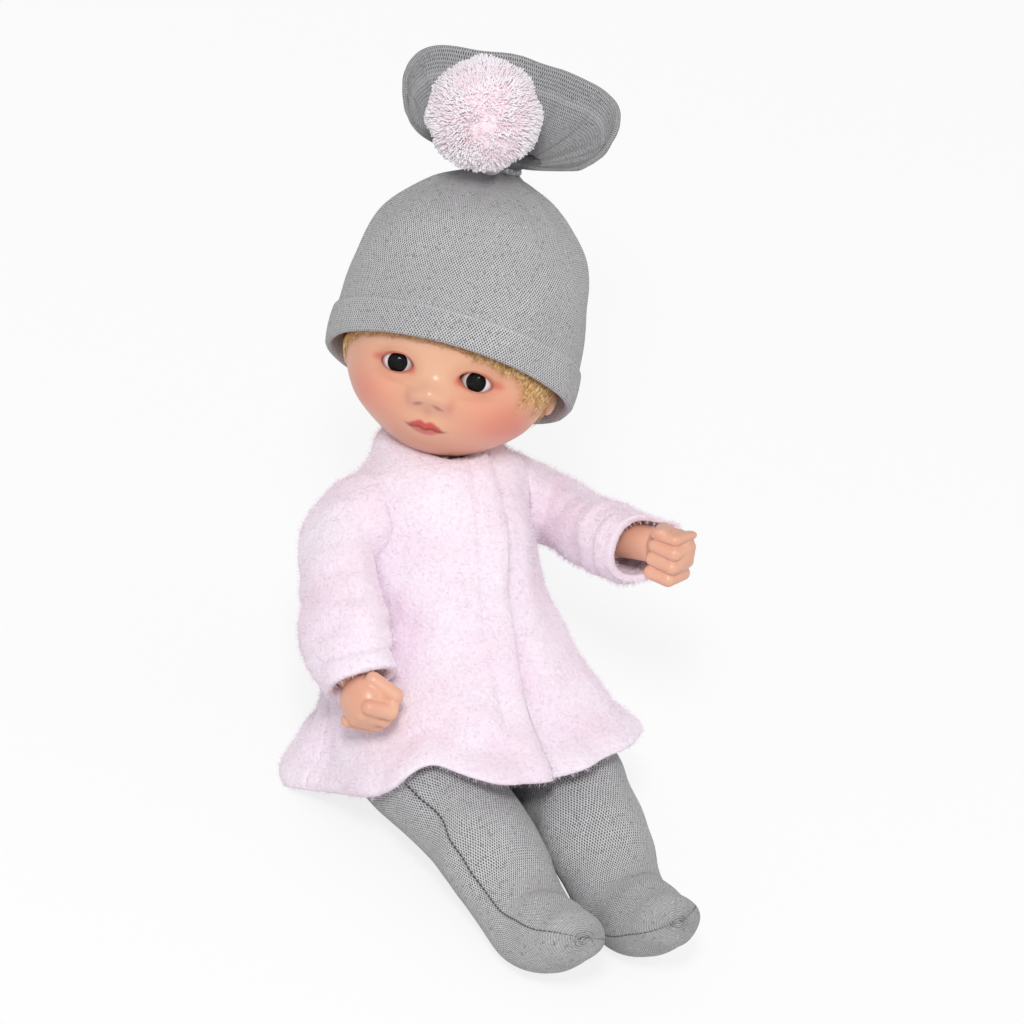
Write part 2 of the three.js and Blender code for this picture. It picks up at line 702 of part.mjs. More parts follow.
const bindingStart = new THREE.Vector3(-0.6, -HAT_TIE_RADIUS - 2.6, HAT_TIE_HEIGHT);
const bindingEnd = pompomAt.clone();

function buildBinding() {
  return piece('pompom_binding', capsule(bindingStart, bindingEnd, 1), yarn());
}

// Jacket: an A-line shell of fleece in three panels, the right front lapping over the left

const jacketRows = [
  [-JACKET_LENGTH, 37, 46, 52, 41, 0.9],
  [-2, 34.5, 41, 44, 36, 0.8],
  [9, 31, 35, 36.5, 30, 0.5],
  [24, 27.2, 29.5, 30, 22.5, 0.15],
  [40, 24.6, 25.2, 24.8, 18.4, 0],
  [52, 24, 24, 22.8, 17.4, 0],
  [60, 23.8, 23.8, 20.2, 16.6, 0],
  [66, 21.5, 21.5, 18, 15.4, 0],
  [71, 16.4, 16.4, 15.8, 14, 0],
  [77, 13.5, 13.5, 14, 13, 0]
];

// The lapped edge runs from the left side of the neck down to the middle of the hem
const LAP_TOP = 7;
const LAP_HEM = -2;

// The hem rides up over the left thigh, from this place and at this slope
const HEM_RISE_FROM = 6;
const HEM_RISE = 22;

function lapPlane(shift) {
  const top = new THREE.Vector3(LAP_TOP + shift, 0, 66);
  const hem = new THREE.Vector3(LAP_HEM + shift, 0, -JACKET_LENGTH);
  const along = top.clone().sub(hem).normalize();
  const normal = new THREE.Vector3().crossVectors(new THREE.Vector3(0, -1, 0), along);
  if (normal.x < 0) normal.negate();
  return beyond(hem, normal);
}

function jacketShell(outer, inner) {
  return trunk(jacketRows, 10, WIDE_SIDES, -outer).subtract(trunk(jacketRows, 10, WIDE_SIDES, -inner, 10));
}

function jacketCuts() {
  let cuts = beyond(onNeck(-COLLAR_DROP), neckUp);
  for (const side of [-1, 1]) {
    const x0 = side > 0 ? 10 : -60;
    const x1 = side > 0 ? 60 : -10;
    cuts = cuts.add(drum(x0, x1, SHOULDER_DISC + 0.6, SHOULDER_HEIGHT));
    const s0 = side > 0 ? SLEEVE_SEAT - FIT_GAP : -60;
    const s1 = side > 0 ? 60 : -SLEEVE_SEAT + FIT_GAP;
    cuts = cuts.add(drum(s0, s1, 15, SHOULDER_HEIGHT, 24));
  }
  return cuts;
}

// The thighs, drawn a little large: the hem lies over them
function thighRoom() {
  const leg = limb(trouserRows.slice(0, 6), 7, SIDES, 2 * FIT_GAP);
  const raise = new THREE.Matrix4().makeRotationX(-LEG_LIFT * DEG);
  return moved(leg, raise).add(moved(mirrored(leg), raise));
}

function buildJacket() {
  const doll = thighRoom().add(trunk(torsoRows, 8, 20, FIT_GAP));
  const cuts = jacketCuts().add(doll).add(underFloor(SIT_RECLINE));
  const seam = 4;
  const shell = jacketShell(0, FLEECE).subtract(cuts);
  const back = shell.intersect(block(-FAR, FAR, seam, FAR, -FAR, TOP));
  const front = block(-FAR, FAR, -FAR, seam - FIT_GAP, -FAR, TOP);
  const fronts = shell.intersect(front);
  const right = fronts.subtract(lapPlane(0));
  const stripDepth = FLEECE + CLOSURE_GAP;
  const underOuter = FLEECE + 3 * CLOSURE_GAP + 2 * CLOSURE_STRIP;
  const underLayer = jacketShell(underOuter, underOuter + FLEECE - 0.4).subtract(cuts);
  const flapTop = block(-FAR, FAR, -FAR, FAR, 65, TOP);
  const flap = underLayer.intersect(front).intersect(lapPlane(-13)).subtract(lapPlane(5)).subtract(flapTop);
  const bridge = jacketShell(FLEECE * 0.5, underOuter + FLEECE - 0.4).subtract(cuts).intersect(front)
    .intersect(lapPlane(FIT_GAP)).subtract(lapPlane(4));
  const risen = new THREE.Vector3(Math.sin(HEM_RISE * DEG), 0, -Math.cos(HEM_RISE * DEG));
  const hemCut = beyond(new THREE.Vector3(HEM_RISE_FROM, 0, -JACKET_LENGTH), risen);
  const left = fronts.intersect(lapPlane(FIT_GAP)).add(bridge).add(flap).subtract(hemCut);
  const patch = block(-4, 9, -60, 0, 42, 56).intersect(lapPlane(-11)).subtract(lapPlane(-1.5));
  const loop = jacketShell(stripDepth, stripDepth + CLOSURE_STRIP).intersect(patch);
  const hookDepth = stripDepth + CLOSURE_STRIP + CLOSURE_GAP;
  const hook = jacketShell(hookDepth, hookDepth + CLOSURE_STRIP).intersect(patch);
  return [
    piece('jacket_back', back, fleece()),
    piece('jacket_front_right', right, fleece()),
    piece('jacket_front_left', left, fleece()),
    piece('closure_loop_strip', loop, fleece()),
    piece('closure_hook_strip', hook, fleece())
  ];
}

// Sleeves: wide fleece tubes, drawn round the hanging arm

const sleeveRows = [
  [SLEEVE_SEAT + 7.8, 0, 0, 11.5, 11.5],
  [SLEEVE_SEAT + 11, -0.4, -9, 10.6, 11.8],
  [SLEEVE_SEAT + 12.2, -1, -20, 11.4, 11.6],
  [SLEEVE_SEAT + 13.6, -2.6, -30, 11.4, 11.6],
  [SLEEVE_SEAT + 14.8, -4.6, -SLEEVE_LENGTH, 11.2, 11.6]
];

// The jacket's side, seen from an arm at this lift: the sleeve lies flat against it
function jacketSide(lift) {
  const away = new THREE.Matrix4().makeTranslation(0, 0, -SHOULDER_HEIGHT);
  const turnBack = new THREE.Matrix4().makeRotationX(lift * DEG);
  return moved(trunk(jacketRows, 10, WIDE_SIDES, FIT_GAP), turnBack.multiply(away));
}

function buildSleeve(lift) {
  const cap = [[SLEEVE_SEAT, 12.2], [26, 12], [30, 10.8], [34, 7.6], [36.5, 3]];
  const wrap = (less) => turned([
    [SLEEVE_SEAT, 0],
    ...cap.map(([x, radius]) => [x - less * 0.5, Math.max(radius - less, 1)]),
    [cap.at(-1)[0] - less * 0.5 + 0.8, 0]
  ], 0, SIDES);
  const outer = limb(sleeveRows, 7, SIDES).add(wrap(0));
  const runOut = [SLEEVE_SEAT + 15.6, -7, -SLEEVE_LENGTH - 16, 11, 11.6];
  const inner = limb([...sleeveRows, runOut], 9, HIDDEN_SIDES, -FLEECE).add(wrap(FLEECE));
  const down = new THREE.Vector3(0, -0.12, -1).normalize();
  const cuff = beyond(new THREE.Vector3(0, -4, -SLEEVE_LENGTH), down);
  const inside = beyond(new THREE.Vector3(SLEEVE_SEAT, 0, 0), new THREE.Vector3(-1, 0, 0));
  return outer.subtract(inner).subtract(cuff).subtract(inside).subtract(jacketSide(lift));
}

// Trousers: a seat on the torso and two footed legs of knit

const seatRows = torsoRows.slice(0, 5);
const WAIST_HEIGHT = 22;
const SEAT_BOTTOM = -13.6;

function buildSeat() {
  const ease = 0.6;
  const base = [SEAT_BOTTOM, ...torsoRows[0].slice(1)];
  const outer = trunk([base, ...seatRows], 7, 18, ease + KNIT);
  const inner = trunk(seatRows, 7, 18, ease, FIT_GAP);
  let seat = outer.subtract(inner).subtract(block(-FAR, FAR, -FAR, FAR, WAIST_HEIGHT, TOP));
  for (const side of [-1, 1]) {
    const x0 = side > 0 ? HIP_SEAT - 0.2 : -80;
    const x1 = side > 0 ? 80 : -HIP_SEAT + 0.2;
    seat = seat.subtract(drum(x0, x1, HIP_RELIEF, 0, 18));
  }
  return piece('trouser_seat', seat.subtract(underFloor(SIT_RECLINE)), knit());
}

function buildElastic() {
  const wide = 0.5;
  const around = [WAIST_HEIGHT + 0.4, WAIST_HEIGHT + 5];
  const band = trunk(torsoRows, 8, SIDES, wide + 1.2).subtract(trunk(torsoRows, 8, SIDES, wide + 0.5));
  return piece('waist_elastic', band.intersect(block(-FAR, FAR, -FAR, FAR, ...around)), yarn());
}

const trouserRows = legPath([
  [-0.25, 0, 0, 12.5, 14.6],
  [-0.15, -3, 0.144, 14, 14.4],
  [0, -6, 0.289, 14.4, 13.4],
  [0.35, -6.6, 0.433, 13.6, 12.4],
  [0.6, -5, 0.578, 12.6, 11.8],
  [0.85, -2.8, 0.7, 11.6, 10.6],
  [0.95, -3, 0.79, 11.4, 10.8],
  [1, -7, 0.867, 11.2, 9.8],
  [1, -11.5, 0.922, 9.6, 7.4]
]);

function buildTrouserLeg() {
  const outer = limb(trouserRows, 9, SIDES);
  const inner = limb(trouserRows, 9, HIDDEN_SIDES, -KNIT);
  const open = drum(-60, HIP_SEAT + 2 * FIT_GAP, HIP_RELIEF + 0.2, 0, 18);
  return outer.subtract(inner).subtract(open).subtract(underFloor(SIT_RECLINE + LEG_LIFT));
}

// The doll is put together in its sitting pose

function place(group, solid, name, finish) {
  group.add(piece(name, solid, finish));
}

const doll = new THREE.Group();
doll.rotation.x = -SIT_RECLINE * DEG;

doll.add(buildTorso());
for (const mesh of buildJacket()) doll.add(mesh);
doll.add(buildSeat());
doll.add(buildElastic());

for (const name of ['right', 'left']) {
  const side = name === 'right' ? -1 : 1;
  const fit = (solid) => (side > 0 ? solid : mirrored(solid));
  const arm = new THREE.Group();
  arm.position.z = SHOULDER_HEIGHT;
  arm.rotation.x = -ARM_LIFT[name] * DEG;
  place(arm, fit(buildArm()), `arm_${name}`, vinyl());
  place(arm, fit(buildSleeve(ARM_LIFT[name])), `sleeve_${name}`, fleece());
  const leg = new THREE.Group();
  leg.rotation.x = -LEG_LIFT * DEG;
  place(leg, fit(buildLeg()), `leg_${name}`, vinyl());
  place(leg, fit(buildTrouserLeg()), `trouser_leg_${name}`, knit());
  doll.add(arm, leg);
}

const neck = new THREE.Group();
neck.position.copy(NECK_POINT);
neck.rotation.x = NECK_TILT * DEG;
const head = new THREE.Group();
head.rotation.z = HEAD_TURN * DEG;
const skull = new THREE.Group();
skull.position.set(0, HEAD_BACK, HEAD_LIFT);
skull.rotation.x = (HEAD_NOD - NECK_TILT) * DEG;
skull.add(buildHead());
for (const mesh of buildEye('right', -1)) skull.add(mesh);
for (const mesh of buildEye('left', 1)) skull.add(mesh);
skull.add(buildHair());
skull.add(buildHat());
skull.add(buildHatTie());
skull.add(buildPompom());
skull.add(buildBinding());
head.add(skull);
neck.add(head);
doll.add(neck);

const model = new THREE.Group();
model.add(doll);
doll.updateMatrixWorld(true);
const box = new THREE.Box3().setFromObject(doll, true);
doll.position.set(-(box.min.x + box.max.x) / 2, -(box.min.y + box.max.y) / 2, SEAT_HEIGHT);

export default model;
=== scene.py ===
import bisect
import json
import math
import random

import bmesh
import bpy
from mathutils import Matrix, Vector, noise


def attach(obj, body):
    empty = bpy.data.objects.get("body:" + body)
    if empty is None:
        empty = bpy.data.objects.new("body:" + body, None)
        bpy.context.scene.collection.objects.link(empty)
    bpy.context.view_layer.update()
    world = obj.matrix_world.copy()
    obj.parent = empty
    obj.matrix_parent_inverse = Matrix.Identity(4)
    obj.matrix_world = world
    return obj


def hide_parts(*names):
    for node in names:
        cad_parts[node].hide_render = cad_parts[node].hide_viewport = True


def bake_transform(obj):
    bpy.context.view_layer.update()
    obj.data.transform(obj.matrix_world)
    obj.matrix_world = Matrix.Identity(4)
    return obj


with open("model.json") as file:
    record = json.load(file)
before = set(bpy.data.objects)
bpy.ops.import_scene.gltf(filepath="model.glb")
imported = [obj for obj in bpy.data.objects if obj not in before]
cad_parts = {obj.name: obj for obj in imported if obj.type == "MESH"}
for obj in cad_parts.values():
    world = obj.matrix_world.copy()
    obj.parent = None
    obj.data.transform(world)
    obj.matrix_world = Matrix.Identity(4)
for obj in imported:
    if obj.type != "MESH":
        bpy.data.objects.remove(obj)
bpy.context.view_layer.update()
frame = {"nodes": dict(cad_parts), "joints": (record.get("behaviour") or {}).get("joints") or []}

# Camera: a long lens, high on the doll's right, rolled so that the doll leans as it does in the photograph.
# The doll fills most of a square picture.
CAMERA_AZIMUTH = -37.87
CAMERA_ELEVATION = 33.81
CAMERA_ROLL = -15.12
CAMERA_DISTANCE = 2.6
CAMERA_REACH = 20
SENSOR_WIDTH = 36
FRAME_WIDTH = 0.256
PICTURE_MIDDLE = (0.0175, 0.0675)

camera_data = bpy.data.cameras.new("camera")
camera = bpy.data.objects.new("camera", camera_data)
bpy.context.scene.collection.objects.link(camera)
bpy.context.scene.camera = camera
azimuth, elevation = math.radians(CAMERA_AZIMUTH), math.radians(CAMERA_ELEVATION)
back = Vector((
    math.sin(azimuth) * math.cos(elevation),
    -math.cos(azimuth) * math.cos(elevation),
    math.sin(elevation),
))
across = Vector((math.cos(azimuth), math.sin(azimuth), 0))
up = back.cross(across)
roll = math.radians(CAMERA_ROLL)
camera_right = across * math.cos(roll) - up * math.sin(roll)
camera_up = across * math.sin(roll) + up * math.cos(roll)
aim = camera_right * PICTURE_MIDDLE[0] + camera_up * PICTURE_MIDDLE[1]
turn = Matrix((camera_right, camera_up, back)).transposed().to_4x4()
camera.matrix_world = Matrix.Translation(aim + back * CAMERA_DISTANCE) @ turn
camera_data.sensor_width = SENSOR_WIDTH
camera_data.lens = SENSOR_WIDTH * CAMERA_DISTANCE / FRAME_WIDTH
camera_data.clip_end = CAMERA_REACH

# Studio: a white sweep under one soft lamp above on the left and a weak one on the right.
# The sweep is nearly white by itself, so that the doll stands on it with only a faint shadow.
KEY_LIGHT = 10.2
FILL_LIGHT = 1.8
AIR_LIGHT = 0.56
SWEEP_WHITE = 0.8
SWEEP_GLOW = 1.02
WHITE = (1, 1, 1, 1)


def soft_lamp(name, place, power, size):
    lamp = bpy.data.lights.new(name, "AREA")
    lamp.energy = power
    lamp.size = size
    lamp_object = bpy.data.objects.new(name, lamp)
    bpy.context.scene.collection.objects.link(lamp_object)
    lamp_object.location = place
    towards = Vector((0, 0, 0.08)) - Vector(place)
    lamp_object.rotation_euler = towards.to_track_quat("-Z", "Y").to_euler()


soft_lamp("key", (-0.75, -0.75, 1.35), KEY_LIGHT, 0.34)
soft_lamp("fill", (0.9, -0.7, 0.6), FILL_LIGHT, 0.9)


def add(tree, kind, **settings):
    node = tree.nodes.new(kind)
    for key, value in settings.items():
        setattr(node, key, value)
    return node


world = bpy.data.worlds.new("studio")
bpy.context.scene.world = world
world.use_nodes = True
air = world.node_tree
air.nodes.clear()
light_path = add(air, "ShaderNodeLightPath")
seen = add(air, "ShaderNodeMath", operation="MAXIMUM")
air.links.new(light_path.outputs["Is Camera Ray"], seen.inputs[0])
air.links.new(light_path.outputs["Is Transmission Ray"], seen.inputs[1])
dim_air = add(air, "ShaderNodeBackground")
dim_air.inputs["Color"].default_value = WHITE
dim_air.inputs["Strength"].default_value = AIR_LIGHT
white_air = add(air, "ShaderNodeBackground")
white_air.inputs["Color"].default_value = WHITE


def mix_shaders(tree, share, first, second, output_kind):
    """Leads two shaders, mixed by the share, to the output of their tree."""
    mixer = add(tree, "ShaderNodeMixShader")
    tree.links.new(share.outputs[0], mixer.inputs[0])
    tree.links.new(first.outputs[0], mixer.inputs[1])
    tree.links.new(second.outputs[0], mixer.inputs[2])
    out = add(tree, output_kind)
    tree.links.new(mixer.outputs[0], out.inputs[0])


mix_shaders(air, seen, dim_air, white_air, "ShaderNodeOutputWorld")

floor_mesh = bmesh.new()
bmesh.ops.create_grid(floor_mesh, x_segments=2, y_segments=2, size=3)
floor_data = bpy.data.meshes.new("floor")
floor_mesh.to_mesh(floor_data)
floor_mesh.free()
floor = bpy.data.objects.new("floor", floor_data)
bpy.context.scene.collection.objects.link(floor)
floor_paint = bpy.data.materials.new("white_sweep")
floor_paint.use_nodes = True
sweep = floor_paint.node_tree
sweep.nodes.clear()
floor_path = add(sweep, "ShaderNodeLightPath")
floor_share = add(sweep, "ShaderNodeMath", operation="MULTIPLY")
floor_share.inputs[1].default_value = SWEEP_WHITE
sweep.links.new(floor_path.outputs["Is Camera Ray"], floor_share.inputs[0])
floor_matte = add(sweep, "ShaderNodeBsdfDiffuse")
floor_matte.inputs["Color"].default_value = (0.85, 0.85, 0.85, 1)
floor_white = add(sweep, "ShaderNodeEmission")
floor_white.inputs["Color"].default_value = WHITE
floor_white.inputs["Strength"].default_value = SWEEP_GLOW
mix_shaders(sweep, floor_share, floor_matte, floor_white, "ShaderNodeOutputMaterial")
floor_data.materials.append(floor_paint)
bpy.context.scene.view_settings.view_transform = "Standard"

# Vinyl: soft peach plasticised vinyl, faintly translucent and satin, with a slight mottle.
# The torso and the legs are hidden by the clothes, so the moulded shells keep their own shape.
VINYL_PEACH = (0.75, 0.37, 0.25, 1)
VINYL_LIGHT = (0.82, 0.46, 0.325, 1)
VINYL_DEPTH = {"Subsurface_Weight": 0.12, "Subsurface_Scale": 0.002, "Subsurface_Radius": (1.0, 0.35, 0.2)}


def start_material(name, roughness, **settings):
    """A material with one principled shader, and its tree and shader."""
    paint = bpy.data.materials.new(name)
    paint.use_nodes = True
    tree = paint.node_tree
    tree.nodes.clear()
    shader = add(tree, "ShaderNodeBsdfPrincipled")
    shader.inputs["Roughness"].default_value = roughness
    for key, value in settings.items():
        shader.inputs[key.replace("_", " ")].default_value = value
    out = add(tree, "ShaderNodeOutputMaterial")
    tree.links.new(shader.outputs[0], out.inputs[0])
    return paint, tree, shader


def speckle(tree, scale, detail=2):
    """Noise on the piece's own place in metres."""
    source = add(tree, "ShaderNodeTexCoord").outputs["Object"]
    cloud = add(tree, "ShaderNodeTexNoise")
    cloud.inputs["Scale"].default_value = scale
    cloud.inputs["Detail"].default_value = detail
    tree.links.new(source, cloud.inputs["Vector"])
    return cloud.outputs["Fac"]


def ramp(tree, value, stops):
    """Colours or greys between places of a value."""
    bar = add(tree, "ShaderNodeValToRGB")
    while len(bar.color_ramp.elements) < len(stops):
        bar.color_ramp.elements.new(0.5)
    for element, (place, colour) in zip(bar.color_ramp.elements, stops):
        element.position = place
        element.color = colour
    tree.links.new(value, bar.inputs["Fac"])
    return bar.outputs["Color"]


def feed(tree, sockets, values):
    """Links each socket to a node's output, or sets it to a plain value."""
    for socket, value in zip(sockets, values):
        if hasattr(value, "is_linked"):
            tree.links.new(value, socket)
        else:
            socket.default_value = value


def mix_colour(tree, factor, first, second):
    mixer = add(tree, "ShaderNodeMix", data_type="RGBA")
    feed(tree, [socket for socket in mixer.inputs if socket.enabled], (factor, first, second))
    return next(socket for socket in mixer.outputs if socket.enabled)


def bump(tree, shader, height, strength, distance):
    relief = add(tree, "ShaderNodeBump")
    relief.inputs["Strength"].default_value = strength
    relief.inputs["Distance"].default_value = distance
    tree.links.new(height, relief.inputs["Height"])
    tree.links.new(relief.outputs[0], shader.inputs["Normal"])


vinyl, tree, shader = start_material("vinyl", 0.36, Coat_Weight=0.08, Coat_Roughness=0.25, **VINYL_DEPTH)
mottle = ramp(tree, speckle(tree, 60), [(0.3, VINYL_PEACH), (0.7, VINYL_LIGHT)])
tree.links.new(mottle, shader.inputs["Base Color"])
bump(tree, shader, speckle(tree, 900, 3), 0.12, 0.0002)


for hidden_part in ("torso_shell", "leg_right", "leg_left"):
    shell = frame["nodes"][hidden_part].data
    shell.materials.clear()
    shell.materials.append(vinyl)

# Painted shade darkens the skin under the jaw, round the chin, below and beside the nose, in the nostrils,
# round the eyes, under them and at their outer corners.
# Head: one rotocast vinyl shell with button nose, soft lips, full cheeks and lids standing over the eyes.
# Its colour is sprayed and brushed on: rosy cheeks, red lips, a brown line between them, pink rims and red
# inner corners at the eyes.
# The neck hole is open below, and the lids are cut out to the eyes' almond shape.
HEAD_SIZE = (27.0, 29.0, 30.0)
EYE_AT = Vector((10.0, -19.66, -7.6))
EYE_SIZE = 4.8
LID_SIZE = 5.35
ALMOND = (4.15, 2.25)
FACE_RELIEF = (
    (0, -13.5, 3.9, 3.3, 4.5), (-3.7, -14.5, 2.1, 1.8, 1.7), (3.7, -14.5, 2.1, 1.8, 1.7),
    (0, -8, 3.6, 5, 0.4), (0, -21.6, 5.6, 2.4, 2.2), (0, -27.5, 6.5, 4, 2.6),
    (-10, -7.6, 6, 4.2, -1.3), (10, -7.6, 6, 4.2, -1.3), (-14, -17, 8.5, 8, 2.2), (14, -17, 8.5, 8, 2.2),
)
RECLINE = -31
NECK_PLACE = (0, -1, 73)
NECK_TILT = 25
HEAD_TURN = -43
HEAD_ABOVE_NECK = (0, 4, 28)
HEAD_NOD = -23

joints = {joint["name"]: joint for joint in frame["joints"]}
hip_place = Vector(joints["right_hip"]["pos_m"])
hip_place.x = 0
MM = Matrix.Scale(0.001, 4)


def turn_x(degrees):
    return Matrix.Rotation(math.radians(degrees), 4, "X")


DOLL = Matrix.Translation(hip_place) @ turn_x(RECLINE) @ MM
NECK = DOLL @ Matrix.Translation(NECK_PLACE) @ turn_x(NECK_TILT)
TURNED_NECK = NECK @ Matrix.Rotation(math.radians(HEAD_TURN), 4, "Z")
SKULL = TURNED_NECK @ Matrix.Translation(HEAD_ABOVE_NECK) @ turn_x(HEAD_NOD)


def smooth(value, low, high):
    share = min(max((value - low) / (high - low), 0), 1)
    return share * share * (3 - 2 * share)


def head_point(direction, grow=0.0, plain=False):
    """A place on the head's surface, in its own frame in millimetres."""
    x, y, z = direction
    low = smooth(-z, -0.1, 0.75)
    jowl = 1 + 0.045 * low - 0.1 * smooth(-z, 0.62, 1)
    point = Vector((
        (HEAD_SIZE[0] + grow) * x * jowl,
        (HEAD_SIZE[1] + grow) * y * (0.94 if y < 0 else 1.03),
        (HEAD_SIZE[2] + grow) * z,
    ))
    if plain or y >= 0:
        return point
    relief = 0
    for place_x, place_z, wide, tall, height in FACE_RELIEF:
        off = ((point.x - place_x) / wide) ** 2 + ((point.z - place_z) / tall) ** 2
        relief += height * math.exp(-off)
    point.y -= relief * smooth(-y, 0, 0.5)
    for side in (-1, 1):
        away = math.hypot(point.x - side * EYE_AT.x, point.z - EYE_AT.z)
        if away < LID_SIZE:
            lid = EYE_AT.y - math.sqrt(LID_SIZE**2 - away**2)
            share = min(max(0.5 + 0.5 * (point.y - lid) / 1.0, 0), 1)
            point.y = point.y * (1 - share) + lid * share - 0.5 * share * (1 - share)
    return point


def new_object(name, mesh, matrix=None):
    """A mesh object in the doll's world, with its shape written in place."""
    data = bpy.data.meshes.new(name)
    if matrix is not None:
        bmesh.ops.transform(mesh, matrix=matrix, verts=mesh.verts)
    bmesh.ops.recalc_face_normals(mesh, faces=mesh.faces)
    mesh.to_mesh(data)
    mesh.free()
    made = bpy.data.objects.new(name, data)
    bpy.context.scene.collection.objects.link(made)
    return made


def settle(made):
    """The object's modifiers written into its mesh."""
    bpy.context.view_layer.update()
    seen_now = made.evaluated_get(bpy.context.evaluated_depsgraph_get())
    data = bpy.data.meshes.new_from_object(seen_now)
    made.modifiers.clear()
    made.data = data


def cut(made, cutter, operation="DIFFERENCE"):
    """Takes the cutter's form out of a piece, or joins or keeps it, and removes the cutter."""
    modifier = made.modifiers.new("cut", "BOOLEAN")
    modifier.operation = operation
    modifier.solver = "EXACT"
    modifier.object = cutter
    settle(made)
    bpy.data.objects.remove(cutter)


def finish_piece(made, paint, body=None, stands_for=()):
    """Paints a piece, sets what hangs through the floor onto it, and fixes it to its body."""
    for vert in made.data.vertices:
        vert.co.z = max(vert.co.z, 0)
    made.data.materials.clear()
    made.data.materials.append(paint)
    made.data.shade_smooth()
    if body is not None:
        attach(made, body)
    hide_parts(*stands_for)
    return made


def ball(radius, across=32, down=20, scale=(1, 1, 1), centre=(0, 0, 0)):
    mesh = bmesh.new()
    bmesh.ops.create_uvsphere(mesh, u_segments=across, v_segments=down, radius=radius)
    bmesh.ops.scale(mesh, vec=scale, verts=mesh.verts)
    bmesh.ops.translate(mesh, vec=centre, verts=mesh.verts)
    return mesh


def rod(radius, depth, segments=48):
    """An upright round bar about the origin."""
    mesh = bmesh.new()
    bmesh.ops.create_cone(mesh, cap_ends=True, segments=segments, radius1=radius, radius2=radius, depth=depth)
    return mesh


def head_mesh(across, down, grow=0.0, plain=False):
    mesh = ball(1, across, down)
    for vert in mesh.verts:
        vert.co = head_point(vert.co.normalized(), grow, plain)
    return mesh


head = new_object("doll_head", head_mesh(220, 170), SKULL)
for side in (-1, 1):
    ear = ball(1, 24, 16, (1.9, 3.0, 4.4), (side * 25.5, 4.4, -9.6))
    cut(head, new_object("ear_form", ear, SKULL), "UNION")
cut(head, new_object("head_room", head_mesh(48, 32, -3.0, True), SKULL))
cut(head, new_object("neck_room", rod(7.6, 20), TURNED_NECK))
for side in (-1, 1):
    almond = bmesh.new()
    corners = []
    for step in range(40):
        angle = step / 40 * 2 * math.pi
        wide = ALMOND[0] * math.cos(angle)
        tall = ALMOND[1] * math.sin(angle) * (1 - 0.22 * math.cos(angle) ** 2)
        lean = -0.25 * side * math.cos(angle)
        corners.append(almond.verts.new((side * EYE_AT.x + wide, -34, EYE_AT.z + tall + lean)))
    lid_edge = almond.faces.new(corners)
    pushed = bmesh.ops.extrude_face_region(almond, geom=[lid_edge])
    moved_verts = [item for item in pushed["geom"] if isinstance(item, bmesh.types.BMVert)]
    bmesh.ops.translate(almond, vec=(0, 16, 0), verts=moved_verts)
    cut(head, new_object("almond", almond, SKULL))
    socket_ball = ball(EYE_SIZE + 0.12, 32, 20, centre=(side * EYE_AT.x, EYE_AT.y, EYE_AT.z))
    cut(head, new_object("socket", socket_ball, SKULL))

skull_place = head.data.attributes.new("skull_place", "FLOAT_VECTOR", "POINT")
to_skull = SKULL.inverted()
for vert in head.data.vertices:
    skull_place.data[vert.index].vector = to_skull @ vert.co


def attribute(tree, name, kind="Vector"):
    return add(tree, "ShaderNodeAttribute", attribute_name=name).outputs[kind]


def split(tree, vector):
    """The three numbers of a place, as X, Y and Z."""
    node = add(tree, "ShaderNodeSeparateXYZ")
    tree.links.new(vector, node.inputs[0])
    return node.outputs


def calculate(tree, operation, *values):
    node = add(tree, "ShaderNodeMath", operation=operation)
    feed(tree, node.inputs, values)
    return node.outputs[0]


def fade(tree, value, low, high, to_low=0.0, to_high=1.0):
    node = add(tree, "ShaderNodeMapRange", interpolation_type="SMOOTHSTEP")
    tree.links.new(value, node.inputs["Value"])
    for key, number in (("From Min", low), ("From Max", high), ("To Min", to_low), ("To Max", to_high)):
        node.inputs[key].default_value = number
    return node.outputs[0]


def blot(tree, place, centre, size, softness, lean=0.0, strength=1.0):
    """A soft elliptical touch of paint or painted shade on the face, centred at x and z."""
    frame_node = add(tree, "ShaderNodeMapping", vector_type="TEXTURE")
    frame_node.inputs["Location"].default_value = (centre[0], -22, centre[1])
    frame_node.inputs["Rotation"].default_value = (0, math.radians(lean), 0)
    frame_node.inputs["Scale"].default_value = (size[0], 30, size[1])
    tree.links.new(place, frame_node.inputs["Vector"])
    away = add(tree, "ShaderNodeVectorMath", operation="LENGTH")
    tree.links.new(frame_node.outputs[0], away.inputs[0])
    return fade(tree, away.outputs["Value"], 1 + softness, max(1 - softness, 0), 0, strength)


